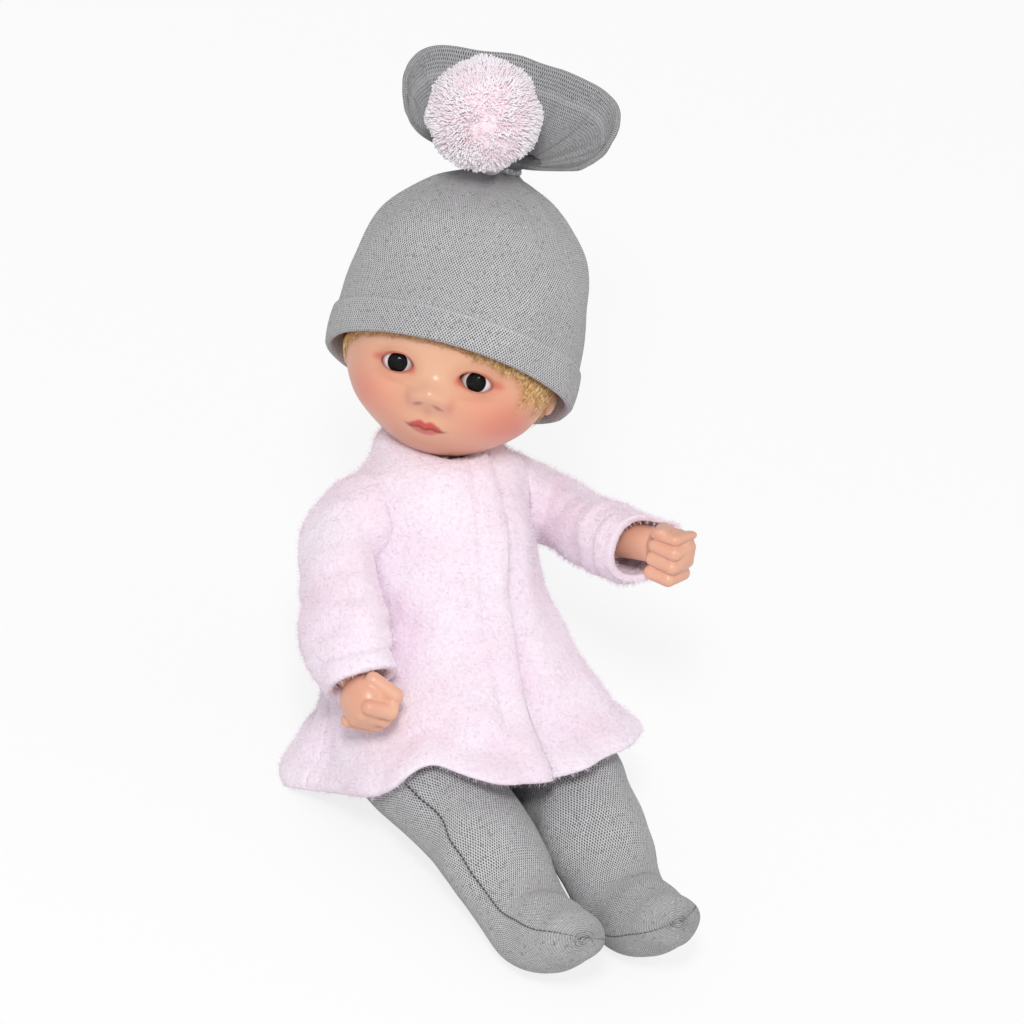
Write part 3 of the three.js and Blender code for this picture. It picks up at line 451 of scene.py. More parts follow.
face_paint, tree, shader = start_material("vinyl_face", 0.33, Coat_Weight=0.1, Coat_Roughness=0.22,
                                          **VINYL_DEPTH)
place = attribute(tree, "skull_place")
parts = split(tree, place)
skin = ramp(tree, speckle(tree, 45), [(0.3, (0.76, 0.40, 0.255, 1)), (0.7, (0.82, 0.47, 0.315, 1))])
ROSE = (0.80, 0.235, 0.165, 1)
DEEP_ROSE = (0.70, 0.15, 0.10, 1)
LINE_BROWN = (0.30, 0.035, 0.02, 1)
LIP_RED = (0.56, 0.04, 0.04, 1)
SHADE = (0.62, 0.25, 0.14, 1)
UNDER_JAW_SHADE = (0.55, 0.17, 0.10, 1)
LID_RIM = (0.45, 0.10, 0.06, 1)
NOSTRIL_SHADE = (0.42, 0.09, 0.05, 1)
# Touches: x, z, width, height, softness, lean, strength and colour. The cheeks, the pink rims and the red
# inner corners of the eyes are paint; the others are painted shade: round the eye, in the crease under it, at
# its outer corner, in the nostrils and beside the nose.
PAINT_AND_SHADE_TOUCHES = (
    (17.5, -17.5, 9.5, 8.5, 0.95, 0, 0.6, ROSE), (20.5, -18.5, 4.5, 4.5, 0.95, 0, 0.4, DEEP_ROSE),
    (10, -7.4, 6.2, 4.6, 0.3, 0, 0.35, SHADE), (10, -12.0, 4.6, 0.6, 0.95, -8, 0.25, SHADE),
    (14.9, -7.3, 1.6, 0.9, 0.8, 12, 0.8, DEEP_ROSE), (6.0, -8.3, 1.0, 1.1, 0.8, 0, 0.8, DEEP_ROSE),
    (10, -7.6, 4.5, 2.65, 0.12, 0, 0.85, LID_RIM), (2.5, -16.0, 1.2, 0.45, 0.9, 22, 0.75, NOSTRIL_SHADE),
    (5.4, -15.2, 0.9, 1.8, 0.95, 12, 0.25, DEEP_ROSE),
)
# Painted shade: darker round the chin and towards the bottom of the jaw.
skin = mix_colour(tree, blot(tree, place, (0, -26), (17, 5), 0.9, 0, 0.35), skin, SHADE)
skin = mix_colour(tree, fade(tree, parts["Z"], -22, -29, 0, 0.6), skin, UNDER_JAW_SHADE)
for side in (-1, 1):
    for x, z, wide, tall, softness, lean, strength, colour in PAINT_AND_SHADE_TOUCHES:
        touch = blot(tree, place, (side * x, z), (wide, tall), softness, side * lean, strength)
        skin = mix_colour(tree, touch, skin, colour)
# Painted shade below the nose.
skin = mix_colour(tree, blot(tree, place, (0, -17.8), (1.0, 1.6), 0.9, 0, 0.35), skin, SHADE)


def fade_straight(tree, value, low, high):
    node = add(tree, "ShaderNodeMapRange")
    tree.links.new(value, node.inputs["Value"])
    node.inputs["From Min"].default_value = low
    node.inputs["From Max"].default_value = high
    return node.outputs[0]


def curve_of(tree, value, points):
    """The height of a drawn line over x, both in millimetres of the face: x −8…8, z −26…−18."""
    node = add(tree, "ShaderNodeFloatCurve")
    line = node.mapping.curves[0]
    while len(line.points) < len(points):
        line.points.new(0.5, 0.5)
    for point, (x, z) in zip(line.points, points):
        point.location = ((x + 8) / 16, (z + 26) / 8)
    node.mapping.update()
    tree.links.new(fade_straight(tree, value, -8, 8), node.inputs["Value"])
    scaled = calculate(tree, "MULTIPLY", node.outputs[0], 8.0)
    return calculate(tree, "SUBTRACT", scaled, 26.0)


def even(half_line):
    """A line drawn from the middle to the left, with its mirror image put before it."""
    return [(-x, z) for x, z in reversed(half_line[1:])] + half_line


MOUTH_LINE = even([(0, -22.35), (1.6, -21.9), (3.5, -22.2), (6, -21.9), (8, -21.6)])
UPPER_LIP = even([(0, -20.5), (1.2, -20.1), (3.2, -20.9), (5, -21.7), (8, -21.6)])
LOWER_LIP = even([(0, -24.0), (1.2, -23.9), (3.0, -23.3), (5, -22.3), (8, -21.8)])
front = fade(tree, parts["Y"], -8, -14)
line_z = curve_of(tree, parts["X"], MOUTH_LINE)
upper_z = curve_of(tree, parts["X"], UPPER_LIP)
lower_z = curve_of(tree, parts["X"], LOWER_LIP)
above_line = calculate(tree, "SUBTRACT", parts["Z"], line_z)
under_top = calculate(tree, "SUBTRACT", upper_z, parts["Z"])
over_low = calculate(tree, "SUBTRACT", parts["Z"], lower_z)
upper_mask = calculate(tree, "MULTIPLY", fade(tree, under_top, -0.45, 0.6), fade(tree, above_line, -0.2, 0.2))
lower_mask = calculate(tree, "MULTIPLY", fade(tree, over_low, -0.2, 0.9), fade(tree, above_line, 0.2, -0.2))
apart = calculate(tree, "ABSOLUTE", above_line)
half = calculate(tree, "ABSOLUTE", parts["X"])
line_mask = calculate(tree, "MULTIPLY", fade(tree, apart, 0.42, 0.1), fade(tree, half, 6.2, 4.8))
within = fade(tree, half, 5.6, 3.4)
mouth = ((upper_mask, LIP_RED, 0.9), (lower_mask, LIP_RED, 0.7), (line_mask, LINE_BROWN, 0.8))
for mask, colour, strength in mouth:
    mask = calculate(tree, "MULTIPLY", calculate(tree, "MULTIPLY", mask, front), strength)
    mask = calculate(tree, "MULTIPLY", mask, within)
    skin = mix_colour(tree, mask, skin, colour)
tree.links.new(skin, shader.inputs["Base Color"])
relief = calculate(tree, "MULTIPLY", calculate(tree, "MULTIPLY", line_mask, front), -1.0)
grain = calculate(tree, "MULTIPLY", speckle(tree, 900, 3), 0.04)
bump(tree, shader, calculate(tree, "ADD", relief, grain), 0.6, 0.0006)
finish_piece(head, face_paint, "head", ["head_shell"])

# Eyes: a glossy white plastic ball with a recessed near-black iris disc under a clear dome.
# The iris is black in the middle, with painted light making it dark grey at its lower rim. Each eye is set
# into the head.
# Painted shade: the white turns pink and then dark red towards the ball's edge, under the lids.
EYE_WHITE_TO_LID_SHADE = [(0.56, (0.80, 0.76, 0.76, 1)), (0.78, (0.62, 0.36, 0.36, 1)), (0.9, (0.4, 0.1, 0.1, 1))]
IRIS_BLACK = (0.001, 0.001, 0.0015, 1)
IRIS_GLOW_GREY = (0.022, 0.026, 0.03, 1)
IRIS_RADIUS = 2.45
GLINT_RIGHT = 0.13
GLINT_UP = 0.17
GLINT_LIGHT = 3.4

eye_white, tree, shader = start_material("eye_white", 0.12, Coat_Weight=0.5)
reach = split(tree, attribute(tree, "from_iris"))
tree.links.new(ramp(tree, reach["X"], EYE_WHITE_TO_LID_SHADE), shader.inputs["Base Color"])
eye_dark, tree, shader = start_material("eye_dark", 0.5, Specular_IOR_Level=0.1)
reach = split(tree, attribute(tree, "from_iris"))
# Painted light: a dark grey crescent at the lower rim of the iris, as if lit through the dome.
ring = calculate(tree, "MULTIPLY", fade(tree, reach["X"], 0.52, 0.42), fade(tree, reach["X"], 0.12, 0.3))
lower_rim_glow = calculate(tree, "MULTIPLY", fade(tree, reach["Z"], 0.15, -0.35), ring)
tree.links.new(mix_colour(tree, lower_rim_glow, IRIS_BLACK, IRIS_GLOW_GREY), shader.inputs["Base Color"])
eye_forward = (SKULL.to_3x3() @ Vector((0, -1, 0))).normalized()
mirror_way = (eye_forward + camera_right * GLINT_RIGHT + camera_up * GLINT_UP).normalized()
glint = mirror_way * (2 * mirror_way.dot(back)) - back
soft_lamp("eye_glint", Vector((0, 0, 0.11)) + glint * 1.5, GLINT_LIGHT, 0.13)
eye_clear, tree, shader = start_material("eye_clear", 0.02, Transmission_Weight=1.0, IOR=1.04,
                                         Coat_Weight=0.22, Coat_Roughness=0.02)


def eye_place(centre, ahead=0):
    """The frame at an eye's middle, or ahead of it, with its own Z pointing forwards."""
    return SKULL @ Matrix.Translation(centre - Vector((0, ahead, 0))) @ turn_x(90)


for name, side in (("right", -1), ("left", 1)):
    centre = Vector((side * EYE_AT.x, EYE_AT.y, EYE_AT.z))
    globe = new_object(f"eye_{name}_globe", ball(EYE_SIZE, 48, 32), eye_place(centre))
    cut(globe, new_object("iris_seat", rod(IRIS_RADIUS + 0.12, 3), eye_place(centre, 5.2)))
    iris = new_object(f"eye_{name}_iris", rod(IRIS_RADIUS, 0.2), eye_place(centre, 3.92))
    dome = new_object(f"eye_{name}_dome", ball(EYE_SIZE + 0.1, 64, 48), eye_place(centre))
    cut(dome, new_object("front_room", rod(IRIS_RADIUS, 3), eye_place(centre, 5.62)), "INTERSECT")
    back_turn = (SKULL @ Matrix.Translation(centre)).inverted()
    for made in (globe, iris):
        written = made.data.attributes.new("from_iris", "FLOAT_VECTOR", "POINT")
        for vert in made.data.vertices:
            seen_at = back_turn @ vert.co
            around = math.hypot(seen_at.x, seen_at.z)
            written.data[vert.index].vector = (around / EYE_SIZE, seen_at.x / EYE_SIZE, seen_at.z / EYE_SIZE)
    finish_piece(globe, eye_white, "head", [f"eye_ball_{name}"])
    finish_piece(iris, eye_dark, "head", [f"iris_{name}"])
    finish_piece(dome, eye_clear, "head", [f"cornea_{name}"])

# Knit: fine grey heather jersey, one tube of small v stitches with darker flecks in the yarn.
# It makes the hat with its frill, the trouser legs and the seat.
# Each knitted piece carries a UV map that counts its stitches across and its courses along.
COURSE = 0.62
YARN_AND_GAP_SHADE = [(0.1, (0.07, 0.07, 0.075, 1)), (0.6, (0.42, 0.415, 0.425, 1)), (1.0, (0.64, 0.635, 0.645, 1))]
DARK_FLECK = (0.14, 0.14, 0.15, 1)
LIGHT_FLECK = (0.85, 0.84, 0.85, 1)
MID_GREY = (0.33, 0.325, 0.335, 1)
SEAM_HOLLOW_SHADE = (0.16, 0.16, 0.17, 1)
SEAM_THREAD = (0.015, 0.015, 0.018, 1)
DEEP_SHADE = (0.13, 0.13, 0.14, 1)


def knit_material(name, pale_line=None, seam_turns=(), wales=1):
    """Heather yarn with painted shade in the gaps between the stitches, with stitched seams drawn along the
    courses and painted shade in their hollows.
    """
    paint, tree, shader = start_material(name, 0.9, Sheen_Weight=0.15, Sheen_Roughness=0.5)
    stitch = split(tree, add(tree, "ShaderNodeUVMap").outputs[0])
    u, v = stitch["X"], stitch["Y"]
    wobble = calculate(tree, "MULTIPLY", calculate(tree, "SUBTRACT", speckle(tree, 420), 0.5), 0.5)
    odd_course = calculate(tree, "MODULO", calculate(tree, "FLOOR", v), 2.0)
    every_other = calculate(tree, "MULTIPLY", odd_course, 0.5)
    in_u = calculate(tree, "FRACT", calculate(tree, "ADD", calculate(tree, "ADD", u, every_other), wobble))
    in_v = calculate(tree, "FRACT", v)
    off_u = calculate(tree, "ABSOLUTE", calculate(tree, "SUBTRACT", in_u, 0.5))
    off_v = calculate(tree, "ABSOLUTE", calculate(tree, "SUBTRACT", in_v, 0.5))
    slanted = calculate(tree, "ADD", off_v, calculate(tree, "MULTIPLY", off_u, 0.6))
    # Painted shade: the gaps between the loops are darkened almost to black.
    gap = calculate(tree, "MULTIPLY", fade(tree, off_u, 0.36, 0.06), fade(tree, slanted, 0.62, 0.2))
    loops = calculate(tree, "SUBTRACT", 1.0, gap)
    yarn_with_gap_shade = ramp(tree, loops, YARN_AND_GAP_SHADE)
    fleck = fade(tree, speckle(tree, 1100, 1), 0.58, 0.72, 0, 0.5)
    heather = mix_colour(tree, fleck, yarn_with_gap_shade, DARK_FLECK)
    light_fleck = fade(tree, speckle(tree, 1700, 1), 0.60, 0.72, 0, 0.5)
    heather = mix_colour(tree, light_fleck, heather, LIGHT_FLECK)
    broad = fade(tree, speckle(tree, 40, 3), 0.3, 0.7, 0, 0.22)
    heather = mix_colour(tree, broad, heather, MID_GREY)
    for turn in seam_turns:
        beside = calculate(tree, "ABSOLUTE", calculate(tree, "SUBTRACT", u, turn / 360 * wales))
        dash = fade(tree, calculate(tree, "FRACT", calculate(tree, "MULTIPLY", v, 0.5)), 0.85, 0.6)
        sewn = calculate(tree, "MULTIPLY", fade(tree, beside, 0.42, 0.22), dash)
        # Painted shade in the hollow along each seam.
        hollow = fade(tree, beside, 1.6, 0.2, 0, 0.35)
        heather = mix_colour(tree, hollow, heather, SEAM_HOLLOW_SHADE)
        heather = mix_colour(tree, calculate(tree, "MULTIPLY", sewn, 0.9), heather, SEAM_THREAD)
    if pale_line is not None:
        heather = mix_colour(tree, attribute(tree, "seam", "Fac"), heather, pale_line)
        heather = mix_colour(tree, attribute(tree, "shade", "Fac"), heather, DEEP_SHADE)
    tree.links.new(heather, shader.inputs["Base Color"])
    bump(tree, shader, loops, 0.8, 0.0004)
    return paint


def between(rows, steps):
    """Smooth values between the rows of a table of section sizes."""
    result = []
    last = len(rows) - 1
    for step in range(steps + 1):
        place = step / steps * last
        first = min(int(place), last - 1)
        t = place - first
        values = []
        for column in range(len(rows[0])):
            b, c = rows[first][column], rows[first + 1][column]
            a = rows[first - 1][column] if first > 0 else 2 * b - c
            d = rows[first + 2][column] if first + 2 <= last else 2 * c - b
            slope_b, slope_c = (c - a) / 2, (d - b) / 2
            square_part = (3 * (c - b) - 2 * slope_b - slope_c) * t**2
            values.append(b + slope_b * t + square_part + (2 * (b - c) + slope_b + slope_c) * t**3)
        result.append(values)
    return result


def tube(name, rings, around, matrix, wales=None):
    """A tube through ring functions of the turn, with stitches counted on its UV map."""
    mesh = bmesh.new()
    stitches = mesh.loops.layers.uv.new("stitches")
    last = len(rings) - 1
    bmesh.ops.create_grid(mesh, x_segments=around, y_segments=last, size=1)
    count = {}
    lengths = [0.0]
    for index in range(last):
        step = sum((rings[index + 1](turn) - rings[index](turn)).length for turn in (0.8, 2.4, 4.0, 5.5)) / 4
        lengths.append(lengths[-1] + step)
    for vert in mesh.verts:
        u = (vert.co.x + 1) / 2
        ring = round((vert.co.y + 1) / 2 * last)
        count[vert] = (u * (wales or 150), lengths[ring] / COURSE)
        vert.co = rings[ring](u % 1 * 2 * math.pi)
    for face in mesh.faces:
        for loop in face.loops:
            loop[stitches].uv = count[loop.vert]
    bmesh.ops.remove_doubles(mesh, verts=mesh.verts, dist=1e-4)
    return new_object(name, mesh, matrix)


def wavy(point, size, height):
    """A smooth push of cloth at a place, between plus and minus its height."""
    return noise.noise(point / size) * height


# Hat: a single knitted tube turned up in a band at the brim, tied tightly above the crown.
# Above the tie the tube opens into a wide frill that stands like a fan behind the pompom.
# Pale stitches show along the band's top and at the frill's rim.
HAT_ROWS = [
    (-10, 31, 33, 0.8, 19), (-4, 31.2, 33.2, 0.7, 17), (2, 30.8, 32.8, 0.6, 14), (12, 30, 31.2, 0.5, 9),
    (22, 27.6, 28.8, 0.4, 5), (31, 22.6, 23.6, 0.2, 2), (37.5, 14.5, 15, 0, 0), (41.4, 6.2, 6.2, 0, 0),
    (43, 4.4, 4.4, 0, 0),
]
TURNED_EDGE = (
    (-4, -1.1), (-7, -1.1), (-9.2, -1.1), (-10.3, -0.7), (-10.7, -0.1), (-10.5, 0.5), (-9.8, 0.9),
)
TIE_HEIGHT = 43.0
GATHER_RADIUS = 4.4
FRILL_WIDTH = 27.5
PALE_STITCH = (0.82, 0.82, 0.85, 1)


def hat_ring(row, grow=0.0, gather=0.0):
    """A ring round the head. A row is height, half-width, half-depth, shift to the back and slope."""
    height, wide, deep, back_shift, slope = row
    tip = math.tan(math.radians(slope))

    def ring(turn):
        pleat = math.cos(turn * 9 + 0.7 * math.sin(2 * turn)) + 0.6 * math.cos(turn * 14 + 1)
        size = grow + gather * pleat
        x, y = (wide + size) * math.cos(turn), (deep + size) * math.sin(turn)
        soft = wavy(Vector((x, y, height * 1.3)), 13, 0.7)
        return Vector((x + soft * math.cos(turn), y + back_shift + soft * math.sin(turn), height - y * tip))

    return ring


FRILL_DROP = to_skull.to_3x3() @ (camera_right * -0.6 - camera_up * 0.9)


def frill_ring(t, grow=0.0):
    """A ring of the frill, from the tie at 0 to the rim at 1."""
    spread = math.sin(t * 1.5) ** 0.8

    def ring(turn):
        side = math.sin(turn)
        deep_rim = 11 if side > 0 else 3.5
        wave = t * t * math.sin(turn * 4 + 0.6)
        ripple = 0.5 * math.sin(turn * 17 + 1.3 * math.sin(turn * 3)) + 0.3 * math.sin(turn * 29)
        rib = ripple * (1.1 - t) * min(1, t * 5)
        wide = GATHER_RADIUS + (FRILL_WIDTH - GATHER_RADIUS) * spread + grow + rib
        deep = GATHER_RADIUS + (deep_rim - GATHER_RADIUS) * spread + grow + rib
        wall = 5 + 25 * smooth(side, -1.05, 0.75)
        height = TIE_HEIGHT + 1.2 + wall * t * (1 - 0.14 * math.cos(turn) ** 2)
        point = Vector((wide * math.cos(turn) + 0.8 * wave, deep * side + 0.8 * wave, height))
        soft = Vector((0, wavy(point, 9, 1.1 * t), wavy(point, 11, 0.9 * t)))
        return point + FRILL_DROP * (t * 0.004) + soft

    return ring


rings = [hat_ring((height, 30.6, 32.6, 0.8, 19), grow) for height, grow in TURNED_EDGE]
for step in range(1, 14):
    share = step / 14
    row = (-9.8 + 8.6 * share, 30.6 + 0.4 * share, 32.6 + 0.4 * share, 0.8, 19 - 3 * share)
    rings.append(hat_ring(row, 0.9 + 0.25 * math.sin(math.pi * share)))
rings.append(hat_ring((-1.1, 31, 33, 0.7, 16), 0.7))
rings.append(hat_ring((-0.8, 31.1, 33.1, 0.7, 16), 0.1))
for row in between(HAT_ROWS, 90):
    if row[0] > -0.4:
        near_tie = smooth(row[0], 27, 41)
        rings.append(hat_ring(row, 0.1, 0.75 * near_tie * (1 if row[0] < 41 else 0.6)))
for step in range(1, 41):
    rings.append(frill_ring(step / 40))
rings.append(frill_ring(1.012, -0.4))
rings.append(frill_ring(1.012, -0.9))
for step in range(40, 4, -2):
    rings.append(frill_ring(step / 40, -1.4))
hat = tube("knit_hat", rings, 220, SKULL, 262)


def mark(made, name, value_at):
    written = made.data.attributes.new(name, "FLOAT", "POINT")
    for vert in made.data.vertices:
        written.data[vert.index].value = value_at(vert)


POMPOM_AT = Vector((-2, -18.6, 58)) + to_skull.to_3x3() @ (camera_right * -0.0028 - camera_up * 0.0012)
hat_paint = knit_material("knit_hat", PALE_STITCH)


def hat_stitch(vert):
    """A pale line of stitches at the top of the band and just inside the frill's rim."""
    at = to_skull @ vert.co
    band_top = at.z + at.y * math.tan(math.radians(16)) + 1.0
    if at.z < 25:
        return 0.3 * smooth(0.6 - abs(band_top), 0, 0.5)
    return rim_marks.get(round(hat_stitches[vert.index].y * COURSE), 0.0)


hat_stitches = {}
for loop, stitch in zip(hat.data.loops, hat.data.uv_layers["stitches"].data):
    hat_stitches[loop.vertex_index] = stitch.uv
rim_row = max(range(len(hat.data.vertices)), key=lambda index: (to_skull @ hat.data.vertices[index].co).z)
rim_course = round(hat_stitches[rim_row].y * COURSE)
rim_marks = {rim_course + 5: 0.4, rim_course - 5: 0.4}
mark(hat, "seam", hat_stitch)


def frill_shade(vert):
    """The frill stands in the shade of the pompom, deepest beside it."""
    at = to_skull @ vert.co
    beside = math.exp(-max((at - POMPOM_AT).length - 13, 0) / 7)
    return smooth(at.z, 38, 44) * (0.3 + 0.4 * beside)


mark(hat, "shade", frill_shade)
finish_piece(hat, hat_paint, "head", ["hat"])

# Hat tie: a strip of the same knit wound once round the gathers.
# It is sewn down at the back.
tie_mesh = bmesh.new()
bmesh.ops.create_circle(tie_mesh, segments=16, radius=0.75)
bmesh.ops.rotate(tie_mesh, verts=tie_mesh.verts, cent=(0, 0, 0), matrix=Matrix.Rotation(math.pi / 2, 3, "X"))
bmesh.ops.translate(tie_mesh, verts=tie_mesh.verts, vec=(5.1, 0, TIE_HEIGHT))
bmesh.ops.spin(tie_mesh, geom=tie_mesh.verts[:] + tie_mesh.edges[:], cent=(0, 0, 0), axis=(0, 0, 1),
               angle=2 * math.pi, steps=64, use_merge=True, use_duplicate=False)
bmesh.ops.remove_doubles(tie_mesh, verts=tie_mesh.verts, dist=1e-3)
hat_tie = new_object("hat_gather_tie", tie_mesh, SKULL)
plain_grey, tree, shader = start_material("grey_yarn", 0.9)
fleck = ramp(tree, speckle(tree, 1400, 1), [(0.35, (0.25, 0.25, 0.28, 1)), (0.65, (0.6, 0.6, 0.63, 1))])
tree.links.new(fleck, shader.inputs["Base Color"])
finish_piece(hat_tie, plain_grey, "head", ["hat_tie"])

# Pompom: thousands of cut yarn ends standing out from a tied middle, clipped to a ball.
# The yarn parts in a small star where the tie pulls it in, and painted shade makes it deeper pink towards the
# middle.
# A knotted yarn holds it to the gathers of the hat.
POMPOM_RADIUS = 12.3
YARN_ENDS = 9500
END_HALF_LENGTH = 1.7
GOLDEN_TURN = math.pi * (3 - math.sqrt(5))
POMPOM_DEPTH_SHADE = [
    (0.0, (0.88, 0.60, 0.63, 1)), (0.42, (0.92, 0.74, 0.79, 1)),
    (0.72, (0.95, 0.85, 0.91, 1)), (0.95, (0.98, 0.93, 0.97, 1)),
]
PARTING = (to_skull.to_3x3() @ (back - camera_up * 0.32 + camera_right * 0.1)).normalized()
star_side = PARTING.orthogonal().normalized()
star_up = PARTING.cross(star_side)


def any_way():
    return Vector([random.uniform(-1, 1) for _ in range(3)])


random.seed(7)
pompom_mesh = bmesh.new()
bmesh.ops.create_icosphere(pompom_mesh, subdivisions=4, radius=POMPOM_RADIUS)
for vert in pompom_mesh.verts:
    vert.co += vert.co.normalized() * wavy(vert.co, 2.2, 1.0)
for index in range(YARN_ENDS):
    height = 1 - 2 * (index + 0.5) / YARN_ENDS
    spoke = math.sqrt(1 - height * height)
    way = Vector((spoke * math.cos(GOLDEN_TURN * index), spoke * math.sin(GOLDEN_TURN * index), height))
    way += any_way() * 0.05
    way.normalize()
    lean = (way + any_way() * 0.34).normalized()
    off_star = way.angle(PARTING)
    spokes = math.atan2(way.dot(star_side), way.dot(star_up)) * 3.5 + 0.8
    star = (0.5 + 0.5 * math.cos(2 * spokes)) ** 4 * smooth(0.85 - off_star, 0, 0.7)
    star += smooth(0.22 - off_star, 0, 0.2)
    reach_out = POMPOM_RADIUS + random.uniform(-0.9, 0.5) + wavy(way, 0.42, 1.3) - 1.7 * min(star, 1)
    turn_out = lean.to_track_quat("Z", "X").to_matrix()
    foot, tip = [], []
    for corner in range(4):
        around = turn_out @ Vector((math.cos(corner * math.pi / 2), math.sin(corner * math.pi / 2), 0))
        foot.append(pompom_mesh.verts.new(way * reach_out - lean * END_HALF_LENGTH + around * 0.17))
        tip.append(pompom_mesh.verts.new(way * reach_out + lean * END_HALF_LENGTH + around * 0.19))
    for corner in range(4):
        after = (corner + 1) % 4
        pompom_mesh.faces.new((foot[corner], foot[after], tip[after], tip[corner]))
    pompom_mesh.faces.new(tip)
bmesh.ops.translate(pompom_mesh, vec=POMPOM_AT, verts=pompom_mesh.verts)
pompom = new_object("pompom_ball", pompom_mesh, SKULL)
mark(pompom, "out", lambda vert: ((to_skull @ vert.co) - POMPOM_AT).length)
pompom_paint, tree, shader = start_material("pompom_yarn", 0.9, Sheen_Weight=0.4)
# Painted shade: the yarn is deeper pink the nearer it lies to the middle.
depth_shade = ramp(tree, fade_straight(tree, attribute(tree, "out", "Fac"), 10.5, 14.4), POMPOM_DEPTH_SHADE)
tree.links.new(depth_shade, shader.inputs["Base Color"])
finish_piece(pompom, pompom_paint, "head", ["pompom"])

binding_mesh = bmesh.new()
start, end = Vector((-0.6, -7, TIE_HEIGHT)), POMPOM_AT
run = end - start
bmesh.ops.create_cone(binding_mesh, cap_ends=True, segments=16, radius1=2.4, radius2=1.5, depth=run.length)
along_run = Matrix.Translation((start + end) / 2) @ run.to_track_quat("Z", "X").to_matrix().to_4x4()
bmesh.ops.transform(binding_mesh, verts=binding_mesh.verts, matrix=along_run)
binding = new_object("pompom_knot", binding_mesh, SKULL)
finish_piece(binding, pompom_paint, "head", ["pompom_binding"])
mark(binding, "out", lambda vert: 12.5)

# Trousers: a knitted seat and two footed legs, closed at the toes and sewn along the outer side.
# The seat is held at the waist by a strip of elastic under the jacket.
LEG_LIFT = -52.5
LEG = DOLL @ turn_x(LEG_LIFT)
LEG_SPREAD, LEG_DRAWN_IN, LEG_LENGTH = 17.8, 4.0, 90.0
TROUSER_ROWS = [
    (-0.25, 0, 0, 12.5, 14.6), (-0.15, -3, 0.144, 14, 14.4), (0, -6, 0.289, 14.4, 13.4),
    (0.35, -6.6, 0.433, 13.6, 12.4), (0.6, -5, 0.578, 12.6, 11.8), (0.85, -2.8, 0.7, 11.6, 10.6),
    (0.95, -3, 0.79, 11.4, 10.8), (1, -7, 0.867, 11.2, 9.8), (1, -11.5, 0.922, 9.6, 7.4),
]
LEG_WALES = 118
LEG_SEAMS = (27, 196)
knit = knit_material("knit")
trouser_paint = knit_material("knit_trousers", seam_turns=LEG_SEAMS, wales=LEG_WALES)


def limb_rings(path, grow=0.0, push=None):
    """Ring functions along a bent path with round ends. A row is x, y, z, half-width and half-depth."""
    rings = []
    centres = [Vector(row[:3]) for row in path]

    def ring_at(centre, along, wide, deep):
        across = (Vector((1, 0, 0)) - along * along.x).normalized()
        up_way = along.cross(across)

        def ring(turn):
            point = centre + across * (wide * math.cos(turn)) + up_way * (deep * math.sin(turn))
            if push is not None:
                point = point + push(point, turn)
            return point

        return ring

    last = len(path) - 1
    for index, row in enumerate(path):
        along = (centres[min(index + 1, last)] - centres[max(index - 1, 0)]).normalized()
        wide, deep = row[3] + grow, row[4] + grow
        reach = min(wide, deep)
        steps = [math.sin(math.radians(angle)) for angle in range(10, 90, 10)] + [0.9999]
        if index == 0:
            for s in reversed(steps):
                c = math.sqrt(1 - s * s)
                rings.append(ring_at(centres[0] - along * reach * s, along, wide * c, deep * c))
        rings.append(ring_at(centres[index], along, wide, deep))
        if index == last:
            for s in steps:
                c = math.sqrt(1 - s * s)
                rings.append(ring_at(centres[index] + along * reach * s, along, wide * c, deep * c))
    return rings


def trouser_folds(point, turn):
    knee = math.exp(-((point.z + 40) / 16) ** 2)
    ankle = math.exp(-((point.z + 71) / 5) ** 2) * (1 + math.sin(turn)) / 2
    out_way = Vector((math.cos(turn), math.sin(turn), 0))
    soft = wavy(point + Vector((30, 0, 0)), 11, 1.0)
    soft += wavy(Vector((point.x, point.y, point.z * 2.5)), 12, 0.9 * knee)
    inward = (1 - math.cos(turn)) / 2
    closer = 2.3 * inward**2 * math.exp(-((point.z + 48) / 26) ** 2)
    return out_way * (soft - 1.1 * ankle + closer)


def mirror_x(matrix):
    return matrix @ Matrix.Scale(-1, 4, (1, 0, 0))


def drum(radius, from_x, to_x, side=1, height=0, segments=64):
    """A round bar across the body, from one distance from its middle to another."""
    mesh = rod(radius, to_x - from_x, segments)
    bmesh.ops.rotate(mesh, verts=mesh.verts, cent=(0, 0, 0), matrix=Matrix.Rotation(math.pi / 2, 3, "Y"))
    bmesh.ops.translate(mesh, verts=mesh.verts, vec=(side * (from_x + to_x) / 2, 0, height))
    return mesh


leg_sections = []
for drawn, y, down, wide, deep in TROUSER_ROWS:
    leg_sections.append((LEG_SPREAD - LEG_DRAWN_IN * drawn, y, -down * LEG_LENGTH, wide, deep))
path = between(leg_sections, 90)
for name, side in (("right", -1), ("left", 1)):
    place_leg = LEG if side > 0 else mirror_x(LEG)
    rings = limb_rings(path, -0.3, trouser_folds)
    leg = tube(f"trouser_leg_knit_{name}", rings, 120, place_leg, LEG_WALES)
    cut(leg, new_object("hip_room", drum(18.4, -59.9, 10.1), place_leg))
    finish_piece(leg, trouser_paint, f"{name}_leg", [f"trouser_leg_{name}"])

SEAT_ROWS = [
    (-13.6, 8, 8, 6.4, 7, 0), (-11, 8, 8, 6.4, 7, 0), (-6, 15, 15, 12, 14, 0),
    (3, 20, 20, 15.5, 16, 0), (15, 22.5, 22.5, 17, 14.5, 0), (22, 22.1, 22.1, 16.6, 13.9, 0),
]


